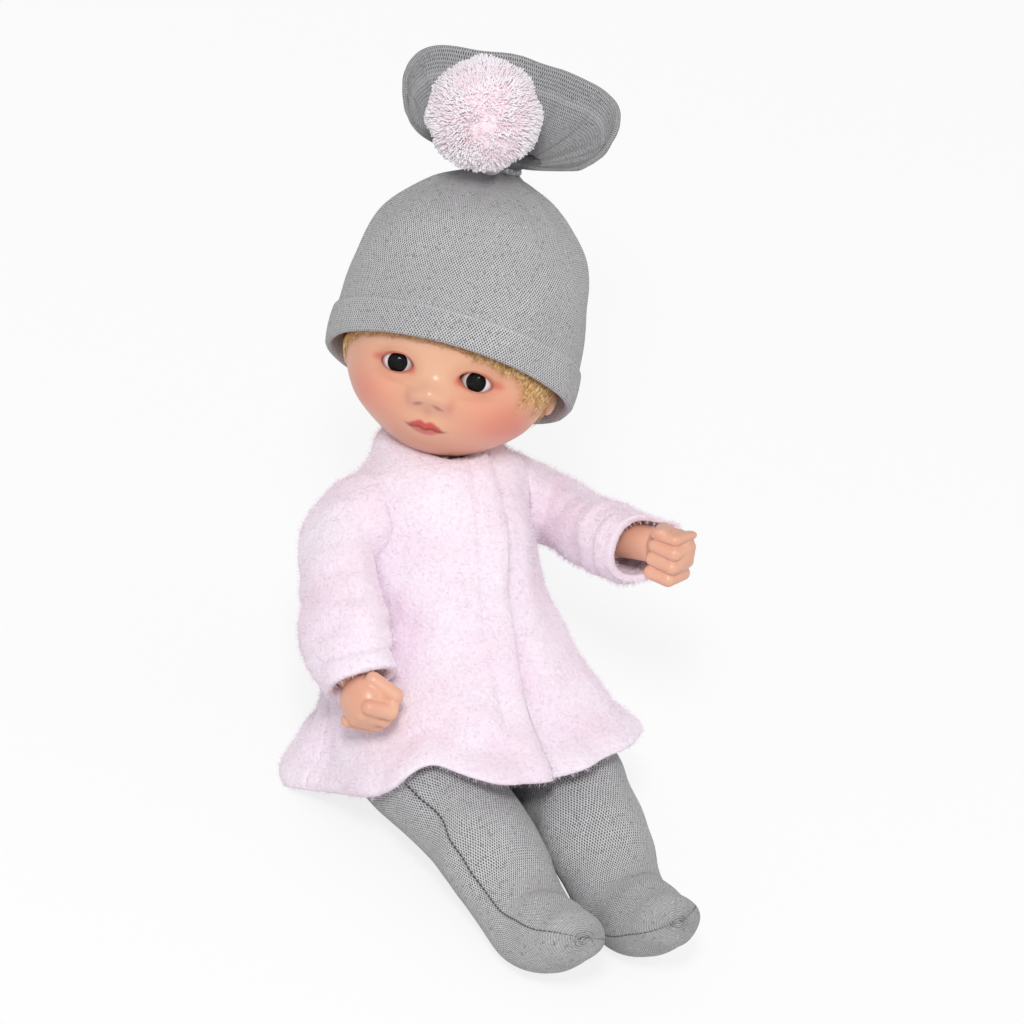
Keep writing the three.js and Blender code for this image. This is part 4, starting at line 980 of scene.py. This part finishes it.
def level_point(row, turn, grow=0.0):
    """A point of a level ring of the body, front and back with their own widths and depths."""
    z, wide_front, wide_back, deep_front, deep_back, square = row
    side, across = math.sin(turn), math.cos(turn)
    to_back = smooth(side, -0.15, 0.55)
    wide = wide_front + (wide_back - wide_front) * to_back + grow
    deep = (deep_back if side > 0 else deep_front) + grow
    power = 1 if side > 0 else 1 / (1 + square)
    return Vector((
        wide * math.copysign(abs(across) ** power, across),
        deep * math.copysign(abs(side) ** power, side),
        z,
    ))


def wall_rings(outside, outer_grow, inside, inner_grow):
    """Rings up the outside of a wall, down its inside, and back to the first."""
    rings = [lambda turn, row=row: level_point(row, turn, outer_grow) for row in outside]
    rings += [lambda turn, row=row: level_point(row, turn, inner_grow) for row in reversed(inside)]
    return rings + rings[:1]


seat_rings = wall_rings(between(SEAT_ROWS, 40), 1.9, between(SEAT_ROWS[1:], 30), 0.8)
seat = tube("trouser_seat_knit", seat_rings, 96, DOLL, 220)
for side in (-1, 1):
    cut(seat, new_object("leg_hole", drum(18.2, 9.2, 69.2, side), DOLL))
for vert in seat.data.vertices:
    vert.co.z = max(vert.co.z, 0.0001)
finish_piece(seat, knit, "torso", ["trouser_seat"])

ELASTIC_ROWS = [(22.4, 22.1, 22.1, 16.6, 13.9, 0), (27, 21.7, 21.7, 16.2, 13.2, 0)]
band_rows = between(ELASTIC_ROWS, 6)
elastic = tube("waist_elastic_band", wall_rings(band_rows, 1.7, band_rows, 1.0), 96, DOLL)
elastic_paint, tree, shader = start_material("elastic", 0.7, Base_Color=(0.75, 0.75, 0.75, 1))
finish_piece(elastic, elastic_paint, "torso", ["waist_elastic"])

# Jacket: thick pale pink fleece in three panels sewn at the sides, the right front lapping over the left.
# The edges are turned in and stitched, so hem, lap and collar are round and full.
# The hem lies over the thighs and on the floor behind, and the collar stands up to the jaw.
FLEECE = 2.4
JACKET_ROWS = [
    (-14, 38, 47, 54, 42, 0.9), (-11, 37, 46, 52, 41, 0.9), (-2, 34.5, 41, 44, 36, 0.8),
    (9, 31, 35, 36.5, 30, 0.5), (24, 27.2, 29.5, 30, 22.5, 0.15), (40, 24.6, 25.2, 24.8, 18.4, 0),
    (52, 24, 24, 22.8, 17.4, 0), (60, 23.8, 23.8, 21.2, 16.8, 0), (66, 21.5, 21.5, 19.8, 15.4, 0),
    (71, 16.8, 16.8, 18.6, 14.4, 0), (77, 15.0, 15.0, 17.4, 14, 0), (83, 14.4, 14.4, 16.8, 14, 0),
]
NECK_SINE, NECK_COSINE = 0.4226, 0.9063
FLOOR_DOWN = Vector((0, math.sin(math.radians(-RECLINE)), -math.cos(math.radians(-RECLINE))))
HIP_ABOVE_FLOOR = 14.9
HEM_REACH = 14.6
SHOULDER_HEIGHT = 56
SEAM_BEHIND = 4
FLEECE_TONES = [(0.3, (0.91, 0.76, 0.865, 1)), (0.7, (0.95, 0.88, 0.96, 1))]
FLEECE_HOLLOW_SHADE = (0.84, 0.64, 0.76, 1)
BODY_FUZZ = 21000
FRONT_BEND = (Vector((0, -14, 4)), Vector((0, -44, -9)))
jacket_sections = between(JACKET_ROWS, 194)
section_heights = [row[0] for row in jacket_sections]


def jacket_row(z):
    """The section of the jacket at a height, worked out between its two nearest."""
    low = min(max(bisect.bisect_right(section_heights, z) - 1, 0), len(section_heights) - 2)
    first, second = jacket_sections[low], jacket_sections[low + 1]
    share = min(max((z - first[0]) / (second[0] - first[0]), 0), 1)
    return [a + (b - a) * share for a, b in zip(first, second)]


def lap_line(z, shift=0.0):
    """Where the lapped edge runs across the front at a height."""
    return -2 + 9 * (z + 11) / 77 + shift


def turn_at_x(row, x):
    """The turn on the front of a ring that stands at this place across."""
    low, high = math.pi, 2 * math.pi
    for _ in range(24):
        middle = (low + high) / 2
        if level_point(row, middle).x < x:
            low = middle
        else:
            high = middle
    return (low + high) / 2


def hem_height(turn, rises):
    """The hem is level in front, lies on the floor behind, and rides up over the left thigh."""
    point = level_point(jacket_row(-11), turn)
    height = -10.0
    if rises and point.x > 2 and point.y < 4:
        height += (point.x - 2) * 0.30 * smooth(-point.y, -6, 20)
    height += 0.5 * math.sin(turn * 5 + 1) + 7.5 * math.exp(-((turn - 1.25 * math.pi) / 0.42) ** 2)
    height += 3.0 * math.exp(-((turn - 1.44 * math.pi) / 0.42) ** 2)
    for _ in range(8):
        over = level_point(jacket_row(height), turn)
        lowest = (over.y * FLOOR_DOWN.y - HEM_REACH) / -FLOOR_DOWN.z
        height = max(height, lowest)
    return height


def collar_height(turn):
    """The collar's top edge follows the jaw: high in front, lower at the nape."""
    side = math.sin(turn)
    if side < 0:
        target = 4.6 - 2.2 * (1 - min(1, abs(side) * 1.6))
    else:
        target = 4.6 - 5.4 * smooth(side, 0, 0.9) - 2.2 * (1 - side)
    height = 70.0
    for _ in range(14):
        y = level_point(jacket_row(height), turn).y
        height = NECK_PLACE[2] + (target + NECK_SINE * (y - NECK_PLACE[1])) / NECK_COSINE
    return height


def panel(name, surface, width, height, thick, matrix, spacing=0.95, rim=1.3):
    """A padded cloth panel with full round edges. surface gives the place at u, v and a depth."""
    def marks(length):
        count = max(int(length / spacing), 4)
        edge = [0, 0.1 * rim / length, 0.3 * rim / length, 0.6 * rim / length]
        inner = [rim / length + (1 - 2 * rim / length) * index / count for index in range(count + 1)]
        return edge + inner + [1 - value for value in reversed(edge)]

    across, along = marks(width), marks(height)
    mesh = bmesh.new()
    for _ in range(2):
        bmesh.ops.create_grid(mesh, x_segments=len(across) - 1, y_segments=len(along) - 1, size=1)
    mesh.verts.index_update()
    for vert in mesh.verts:
        inside = vert.index >= len(across) * len(along)
        u = across[round((vert.co.x + 1) / 2 * (len(across) - 1))]
        v = along[round((vert.co.y + 1) / 2 * (len(along) - 1))]
        margin = min(min(u, 1 - u) * width, min(v, 1 - v) * height)
        full = math.sqrt(max(0, 1 - (1 - min(margin / rim, 1)) ** 2))
        depth = thick / 2 + (1 if inside else -1) * full * thick / 2
        vert.co = surface(u, v, depth)
    bmesh.ops.remove_doubles(mesh, verts=mesh.verts, dist=2e-3)
    return new_object(name, mesh, matrix)


def fleece_fold(point, z, hem):
    """Soft hand-sized swells of the fleece, fuller towards the hem, and the dent of the hem's stitches."""
    from_hem = z - hem
    fall = smooth(40 - from_hem, 0, 40)
    upright = Vector((point.x * 1.6, point.y * 1.6, point.z * 0.35))
    soft = wavy(point, 17, 2.3) + wavy(point, 7, 0.5) + wavy(upright, 12, 1.2 * fall)
    stitch_dent = 0.55 * math.exp(-((from_hem - 7.5) / 0.9) ** 2)
    roll = 1.5 * math.exp(-((from_hem - 3.0) / 2.8) ** 2)
    return soft - stitch_dent + roll


THIGHS = []
for mirrored in (-1, 1):
    for row in path[:56:3]:
        middle = turn_x(LEG_LIFT) @ Vector((row[0] * mirrored, row[1], row[2]))
        THIGHS.append((middle, (row[3] + row[4]) / 2))


def over_thigh(point, inner):
    """Cloth lies on the thighs: a place inside one moves out to just clear of it."""
    if point.z > 16 or point.y > 2:
        return point
    nearest = min(THIGHS, key=lambda thigh: (point - thigh[0]).length - thigh[1])
    away = point - nearest[0]
    clear = nearest[1] + 0.8 + inner
    if away.length < clear + 2:
        short = clear + 2 - away.length
        pushed = short / 2 if short < 2 else short - 1
        return nearest[0] + away.normalized() * (away.length + smooth(2 - point.y, 0, 8) * pushed)
    return point


def over_lap(x, z):
    """The lapped edge is folded double, so it stands up full, with a stitched dent along its inner side."""
    from_edge = lap_line(z) - x
    roll = 0.9 * math.exp(-((from_edge - 2.5) / 3.0) ** 2)
    return 0.5 * math.exp(-((from_edge - 7.5) / 0.9) ** 2) - roll


def jacket_surface(turn_of, rises=False, lower=None):
    """The function that places a panel's cloth: u goes round it, v up it and depth into it."""
    def surface(u, v, depth):
        hem, top = 0.0, 0.0
        turn = turn_of(u, 20)
        for _ in range(2):
            hem, top = hem_height(turn, rises), collar_height(turn)
            z = hem + (top - hem) * v
            turn = turn_of(u, z)
        row = jacket_row(z)
        roll_in = 1.6 * smooth(z, top - 3.5, top)
        plain = level_point(row, turn, -depth - roll_in)
        away = Vector((plain.x, plain.y, 0)).normalized()
        grow = fleece_fold(plain, z, hem)
        if lower is not None:
            grow -= lower(plain.x, z)
        point = plain + away * grow
        point.x += 4.5 * (1 - smooth(z - hem, 0, 32)) * smooth(point.x, -18, 22)
        point = over_thigh(point, FLEECE - depth)
        over_floor = point.dot(FLOOR_DOWN) - HIP_ABOVE_FLOOR
        if over_floor > 0:
            point = point - FLOOR_DOWN * over_floor
        return point

    return surface


def seam_turn(z, side):
    """The side seams stand a little behind the arms."""
    deep = jacket_row(z)[4]
    angle = math.asin(min(SEAM_BEHIND / deep, 1))
    return angle if side > 0 else math.pi - angle


def right_front_turn(u, z):
    start, stop = seam_turn(z, -1), turn_at_x(jacket_row(z), lap_line(z))
    return start + (stop - start) * u


def left_front_turn(u, z):
    start, stop = turn_at_x(jacket_row(z), lap_line(z, -11)), 2 * math.pi + seam_turn(z, 1)
    return start + (stop - start) * u


def back_turn(u, z):
    start, stop = seam_turn(z, 1), seam_turn(z, -1)
    return start + (stop - start) * u


def under_lap(x, z):
    """The left front lies lower where the right one covers it."""
    return 3.3 * smooth(lap_line(z) + 9 - x, 0, 8.5)


fleece, tree, shader = start_material("fleece", 0.95, Sheen_Weight=0.6, Sheen_Roughness=0.4)
shader.inputs["Sheen Tint"].default_value = (1.0, 0.93, 0.96, 1)
pile = speckle(tree, 1100, 3)
tone = ramp(tree, speckle(tree, 55, 3), FLEECE_TONES)
# Painted shade: the hollows of the pile take a deeper lavender pink.
hollows = calculate(tree, "SUBTRACT", 1.0, fade(tree, pile, 0.30, 0.62, 0.0, 1.0))
tone = mix_colour(tree, calculate(tree, "MULTIPLY", hollows, 0.3), tone, FLEECE_HOLLOW_SHADE)
tree.links.new(tone, shader.inputs["Base Color"])
bump(tree, shader, calculate(tree, "ADD", pile, speckle(tree, 420, 3)), 0.55, 0.0009)


def armholes(made, sides):
    for side in sides:
        for radius, from_x in ((9.4, 10), (10.8, 20)):
            cut(made, new_object("armhole", drum(radius, from_x, 60, side, SHOULDER_HEIGHT), DOLL))


def fuzz(made, count):
    """Loose fibre ends standing out of the fleece."""
    mesh = bmesh.new()
    mesh.from_mesh(made.data)
    faces = mesh.faces[:]
    reach = []
    total = 0.0
    for face in faces:
        total += face.calc_area()
        reach.append(total)
    random.seed(len(faces))
    for _ in range(count):
        face = faces[bisect.bisect_left(reach, random.uniform(0, total))]
        corners = [vert.co for vert in face.verts]
        weights = [random.random() for _ in corners]
        place = sum((corner * weight for corner, weight in zip(corners, weights)), Vector()) / sum(weights)
        loose = any_way()
        way = (face.normal + loose * 0.9).normalized()
        side_way = way.cross(loose).normalized() * 0.00004
        length = random.uniform(0.0006, 0.0017)
        middle = place + way * length * 0.5 + loose * 0.00015
        tip = mesh.verts.new(place + way * length)
        a, b = mesh.verts.new(place - side_way), mesh.verts.new(place + side_way)
        c, d = mesh.verts.new(middle - side_way * 0.8), mesh.verts.new(middle + side_way * 0.8)
        mesh.faces.new((a, b, d, c))
        mesh.faces.new((c, d, tip))
    mesh.to_mesh(made.data)
    mesh.free()


over_surface = jacket_surface(right_front_turn, False, over_lap)
under_surface = jacket_surface(left_front_turn, True, under_lap)
right_front = panel("jacket_right_front", over_surface, 108, 84, FLEECE, DOLL)
left_front = panel("jacket_left_front", under_surface, 105, 84, FLEECE - 0.3, DOLL)
jacket_back = panel("jacket_back_panel", jacket_surface(back_turn), 110, 72, FLEECE, DOLL)
for made, sides in ((right_front, (-1,)), (left_front, (1,)), (jacket_back, (-1, 1))):
    armholes(made, sides)
    fuzz(made, BODY_FUZZ)
for made, name in ((right_front, "right"), (left_front, "left")):
    finish_piece(made, fleece, None, [f"jacket_front_{name}"])
    start, end = [DOLL @ place for place in FRONT_BEND]
    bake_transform(made)
    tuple(start)
    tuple(end)
finish_piece(jacket_back, fleece, "torso", ["jacket_back"])

# Closure: a hook strip on the left front and a loop strip under the right front, pressed together.
# They hold the lap at the chest.
CLOSURE_PINK = (0.80, 0.72, 0.74, 1)
closure_paint, tree, shader = start_material("closure", 0.8, Base_Color=CLOSURE_PINK)
bump(tree, shader, speckle(tree, 2500, 1), 0.5, 0.0004)


def strip_surface(level):
    """The same for a flat strip behind the lapped edge, at its own level in the lap."""
    def surface(u, v, depth):
        z = 43 + 12 * v
        row = jacket_row(z)
        x = lap_line(z) - 9.5 + 8 * u
        point = level_point(row, turn_at_x(row, x), -level - depth)
        away = Vector((point.x, point.y, 0)).normalized()
        return point + away * (wavy(point, 17, 2.3) + wavy(point, 7, 0.5))

    return surface


for kind, level in (("loop", 2.45), ("hook", 2.72)):
    strip = panel(f"closure_{kind}s", strip_surface(level), 8, 12, 0.22, DOLL, 1.0, 0.2)
    finish_piece(strip, closure_paint, "torso", [f"closure_{kind}_strip"])

# Sleeves: wide tubes of the same fleece, gathered into the armholes and hemmed at the cuffs.
# Each goes with its arm. The shape is a tube and a shoulder cap run together and felted smooth.
SLEEVE_ROWS = [(31, 0, 0, 11.5, 11.5), (34.2, -0.4, -9, 10.8, 11.8), (35.4, -1, -20, 11.4, 11.6),
               (36.8, -2.6, -30, 11.4, 11.6)]
CAP = [(19.5, 11.8), (23.2, 12.1), (26, 12), (30, 10.8), (34, 7.6), (36.5, 3)]
ARM_LIFT = {"right": 22, "left": 68}
DRAW_IN = {"right": 0.30, "left": 0.0}
CUFF_AT = {"right": -42.0, "left": -38.0}
CUFF_TAKEN_IN = {"right": 2.0, "left": 0.6}
SLEEVE_FUZZ = 13000


def shoulder_place(name):
    """The frame at a shoulder, turned with its arm. The right one is a mirror image of the left."""
    place = DOLL @ Matrix.Translation((0, 0, SHOULDER_HEIGHT)) @ turn_x(-ARM_LIFT[name])
    return mirror_x(place) if name == "right" else place


def cap_mesh(less):
    mesh = bmesh.new()
    profile = [(19.5, 0.01)] + [(x - less * 0.5, max(radius - less, 1)) for x, radius in CAP]
    profile.append((37.3 - less * 0.5, 0.01))
    verts = [mesh.verts.new((x, radius, 0)) for x, radius in profile]
    edges = [mesh.edges.new(pair) for pair in zip(verts, verts[1:])]
    bmesh.ops.spin(mesh, geom=verts + edges, cent=(0, 0, 0), axis=(1, 0, 0),
                   angle=2 * math.pi, steps=48, use_merge=True)
    bmesh.ops.remove_doubles(mesh, verts=mesh.verts, dist=2e-2)
    bmesh.ops.holes_fill(mesh, edges=mesh.edges)
    return mesh


def sealed_tube(name, rings, around, matrix):
    made = tube(name, rings, around, matrix)
    mesh = bmesh.new()
    mesh.from_mesh(made.data)
    bmesh.ops.remove_doubles(mesh, verts=mesh.verts, dist=1e-5)
    bmesh.ops.holes_fill(mesh, edges=mesh.edges)
    bmesh.ops.recalc_face_normals(mesh, faces=mesh.faces)
    mesh.to_mesh(made.data)
    mesh.free()
    return made


def felt(made, size, rounds):
    """Runs joined forms into one skin and rounds its edges."""
    remesh = made.modifiers.new("felt", "REMESH")
    remesh.mode = "VOXEL"
    remesh.voxel_size = size
    settle(made)
    mesh = bmesh.new()
    mesh.from_mesh(made.data)
    for _ in range(rounds):
        bmesh.ops.smooth_vert(mesh, verts=mesh.verts, factor=0.5,
                              use_axis_x=True, use_axis_y=True, use_axis_z=True)
    mesh.to_mesh(made.data)
    mesh.free()


def slab(point, normal, matrix):
    """Everything beyond a plane, as a big block."""
    mesh = bmesh.new()
    bmesh.ops.create_cube(mesh, size=200)
    bmesh.ops.translate(mesh, verts=mesh.verts, vec=(0, 0, 100))
    stand = Matrix.Translation(point) @ Vector(normal).to_track_quat("Z", "X").to_matrix().to_4x4()
    bmesh.ops.transform(mesh, matrix=stand, verts=mesh.verts)
    return new_object("slab", mesh, matrix)


def slope_shoulder(made, draw_in):
    """Lets the shoulder fall from the neck to the arm, and draws the upper arm in to the body."""
    to_doll = DOLL.inverted()
    for vert in made.data.vertices:
        worn = to_doll @ vert.co
        worn.z -= 0.42 * max(abs(worn.x) - 21, 0) * smooth(worn.z, 46, 66)
        outer = max(abs(worn.x) - 29, 0)
        worn.x = math.copysign(abs(worn.x) - draw_in * outer * smooth(worn.z, 20, 52), worn.x)
        vert.co = DOLL @ worn


def sleeve_folds(made, arm_place, name):
    slope_shoulder(made, DRAW_IN[name])
    to_arm = arm_place.inverted()
    from_arm = to_arm.inverted()
    for vert in made.data.vertices:
        at = to_arm @ vert.co
        from_cuff = at.z - CUFF_AT[name]
        low = 1 - smooth(from_cuff, 0, 30)
        axis = Vector((at.x - 35.5, at.y + 1.5, 0)) if at.z < -4 else Vector((at.x - 28, at.y, at.z))
        out_way = axis.normalized() if axis.length > 0.1 else Vector((1, 0, 0))
        crease = wavy(Vector((at.x, at.y, at.z * 2.4)) + Vector((0, 50, 0)), 13, 1.7)
        soft = wavy(at, 8, 0.5) + crease * (0.5 + low)
        dent = 0.5 * math.exp(-((from_cuff - 6.5) / 0.8) ** 2)
        at += out_way * (soft - dent)
        vert.co = from_arm @ at


for name in ("right", "left"):
    arm_place = shoulder_place(name)
    cuff = CUFF_TAKEN_IN[name]
    rows = SLEEVE_ROWS + [(38, -4.6, -42, 11.4 - cuff, 11.8 - cuff)]
    sleeve = sealed_tube(f"sleeve_{name}_fleece", limb_rings(between(rows, 40)), 64, arm_place)
    cut(sleeve, new_object("cap", cap_mesh(0), arm_place), "UNION")
    inner_rows = rows + [(38.8, -7, -58, 11 - cuff, 11.6 - cuff)]
    room = sealed_tube("room", limb_rings(between(inner_rows, 44), -FLEECE), 48, arm_place)
    cut(room, new_object("cap_room", cap_mesh(FLEECE), arm_place), "UNION")
    cut(sleeve, room)
    cut(sleeve, slab((0, -4, CUFF_AT[name]), (0, -0.12, -1), arm_place))
    cut(sleeve, slab((20.3, 0, 0), (-1, 0, 0), arm_place))
    felt(sleeve, 0.00055, 5)
    sleeve_folds(sleeve, arm_place, name)
    fuzz(sleeve, SLEEVE_FUZZ)
    finish_piece(sleeve, fleece, f"{name}_arm", [f"sleeve_{name}"])

# Arms: one-piece vinyl from the shoulder plug to a small closed fist with dimpled knuckles.
# The thumb lies over the curled fingers, and the skin is creased between them.
ARM_ROWS = [(27.4, 0, 0, 7.7, 8), (33, -0.5, -9, 5.9, 7.2), (33.8, -0.8, -17, 6.2, 6.8),
            (35, -1.8, -25, 6.2, 6.4), (36.8, -3.6, -32.5, 5.2, 5.6), (38, -5.2, -39, 4.7, 5)]
FIST_AT = Vector((38.6, -7.4, -47))
THUMB = (Vector((38.1, -13.0, -43.4)), Vector((33.8, -14.0, -48.2)))
FINGER_RADIUS = 1.9
THUMB_RADIUS = 2.2
PLUG = ((18.9, 20.2, 8.0), (15.5, 19.5, 4.4), (15.2, 16.4, 5.8))


def finger(from_place, to_place, radius):
    """A rounded finger joint between two places."""
    mesh = ball(radius, 20, 14)
    run = to_place - from_place
    for vert in mesh.verts:
        vert.co.z += run.length / 2 * (1 if vert.co.z > 0 else -1)
    stand = Matrix.Translation((from_place + to_place) / 2) @ run.to_track_quat("Z", "X").to_matrix().to_4x4()
    bmesh.ops.transform(mesh, matrix=stand, verts=mesh.verts)
    return mesh


def join_into(whole, form):
    data = bpy.data.meshes.new("form")
    form.to_mesh(data)
    form.free()
    whole.from_mesh(data)
    bpy.data.meshes.remove(data)


for name in ("right", "left"):
    arm_place = shoulder_place(name)
    arm = sealed_tube(f"arm_{name}_vinyl", limb_rings(between(ARM_ROWS, 30)), 48, Matrix.Identity(4))
    cut(arm, slab((19.35, 0, 0), (-1, 0, 0), Matrix.Identity(4)))
    whole = bmesh.new()
    whole.from_mesh(arm.data)
    bpy.data.objects.remove(arm)
    join_into(whole, ball(1, 40, 28, (5.8, 7.0, 6.6), FIST_AT))
    for index in range(4):
        y = FIST_AT.y - 5.7 + index * 3.8
        reach_in = 0.7 if index in (0, 3) else 0
        root = Vector((FIST_AT.x + 2.6, y, FIST_AT.z - 3.6 + reach_in))
        knuckle = Vector((FIST_AT.x - 2.9, y, FIST_AT.z - 5.7 + reach_in))
        tip = Vector((FIST_AT.x - 5.1, y, FIST_AT.z - 0.4))
        join_into(whole, finger(root, knuckle, FINGER_RADIUS))
        join_into(whole, finger(knuckle, tip, FINGER_RADIUS))
    join_into(whole, finger(THUMB[0], THUMB[1], THUMB_RADIUS))
    arm = new_object(f"arm_{name}_vinyl", whole, arm_place)
    felt(arm, 0.00028, 1)
    plug_mesh = bmesh.new()
    for from_x, to_x, radius in PLUG:
        join_into(plug_mesh, drum(radius, from_x, to_x, segments=40))
    plug_object = new_object("plug", plug_mesh, arm_place)
    together = bmesh.new()
    together.from_mesh(arm.data)
    together.from_mesh(plug_object.data)
    together.to_mesh(arm.data)
    together.free()
    bpy.data.objects.remove(plug_object)
    slope_shoulder(arm, DRAW_IN[name])
    finish_piece(arm, vinyl, f"{name}_arm", [f"arm_{name}"])

# Hair: fine golden fibre rooted in the scalp, showing as wisps under the brim.
# It is longer over the left temple, short over the forehead, and a small tuft shows at the right.
BRIM_SLOPE = math.radians(19)
hair_mesh = head_mesh(64, 44, 1.25, True)
brim_normal = Vector((0, math.sin(BRIM_SLOPE), math.cos(BRIM_SLOPE)))
everything = hair_mesh.verts[:] + hair_mesh.edges[:] + hair_mesh.faces[:]
bmesh.ops.bisect_plane(hair_mesh, geom=everything, plane_co=(0, 0, -8.2), plane_no=brim_normal,
                       clear_inner=True)


def brim_edge(y):
    return -10.6 - (y - 0.8) * math.tan(BRIM_SLOPE)


def scalp_point(spin, z, lift):
    """The place on the skin at a turn from the nose towards the left ear and at a height."""
    low, high = -1.5, 1.5
    for _ in range(18):
        middle = (low + high) / 2
        level = math.cos(middle)
        way = Vector((math.sin(spin) * level, -math.cos(spin) * level, math.sin(middle)))
        if head_point(way, lift).z < z:
            low = middle
        else:
            high = middle
    return head_point(way, lift)


def wisp_length(spin):
    """How far the hair hangs below the brim, in millimetres, for a turn in radians."""
    forehead = 0.6 + 0.4 * math.sin(spin * 23)
    right_tuft = 4.4 * math.exp(-((spin + 1.3) / 0.22) ** 2)
    left_fall = 2.0 * smooth(spin, 0.2, 0.5) + 5.5 * smooth(spin, 0.72, 1.0)
    return forehead + right_tuft + left_fall * (1 - 0.35 * smooth(spin, 1.2, 1.7))


random.seed(11)
WISPS = 1300
for index in range(WISPS):
    spin = random.uniform(-1.6, 1.9) if index % 3 else random.uniform(0.2, 1.3)
    spin = round(spin / 0.06) * 0.06 + random.gauss(0, 0.009)
    full = wisp_length(spin) * random.uniform(0.2, 1.2)
    full *= 0.75 + 0.35 * math.sin(spin * 31) * math.sin(spin * 12)
    top = scalp_point(spin, 0, 0.3)
    top = scalp_point(spin, brim_edge(top.y) + 1.6, 0.5)
    lean = random.uniform(-0.05, 0.05) - 0.02
    thick = random.uniform(0.055, 0.1)
    last_ring = []
    for step in range(4):
        share = step / 3
        lift = 0.35 + 0.25 * math.sin(math.pi * share)
        place = scalp_point(spin + lean * share, top.z - (full + 1.6) * share, lift)
        size = thick * (1 - 0.85 * share)
        side_way = Vector((math.cos(spin), math.sin(spin), 0))
        out_way = Vector((math.sin(spin), -math.cos(spin), 0))
        ring = [hair_mesh.verts.new(place + side_way * size), hair_mesh.verts.new(place - side_way * size),
                hair_mesh.verts.new(place + out_way * size * 1.4)]
        if last_ring:
            for a in range(3):
                b = (a + 1) % 3
                hair_mesh.faces.new((last_ring[a], last_ring[b], ring[b], ring[a]))
        last_ring = ring
hair = new_object("hair_wisps", hair_mesh, SKULL)
hair_paint, tree, shader = start_material("hair", 0.45, Sheen_Weight=0.2)
gold = ramp(tree, speckle(tree, 1300, 1), [(0.35, (0.55, 0.26, 0.07, 1)), (0.65, (0.98, 0.70, 0.34, 1))])
tree.links.new(gold, shader.inputs["Base Color"])
finish_piece(hair, hair_paint, "head", ["hair"])
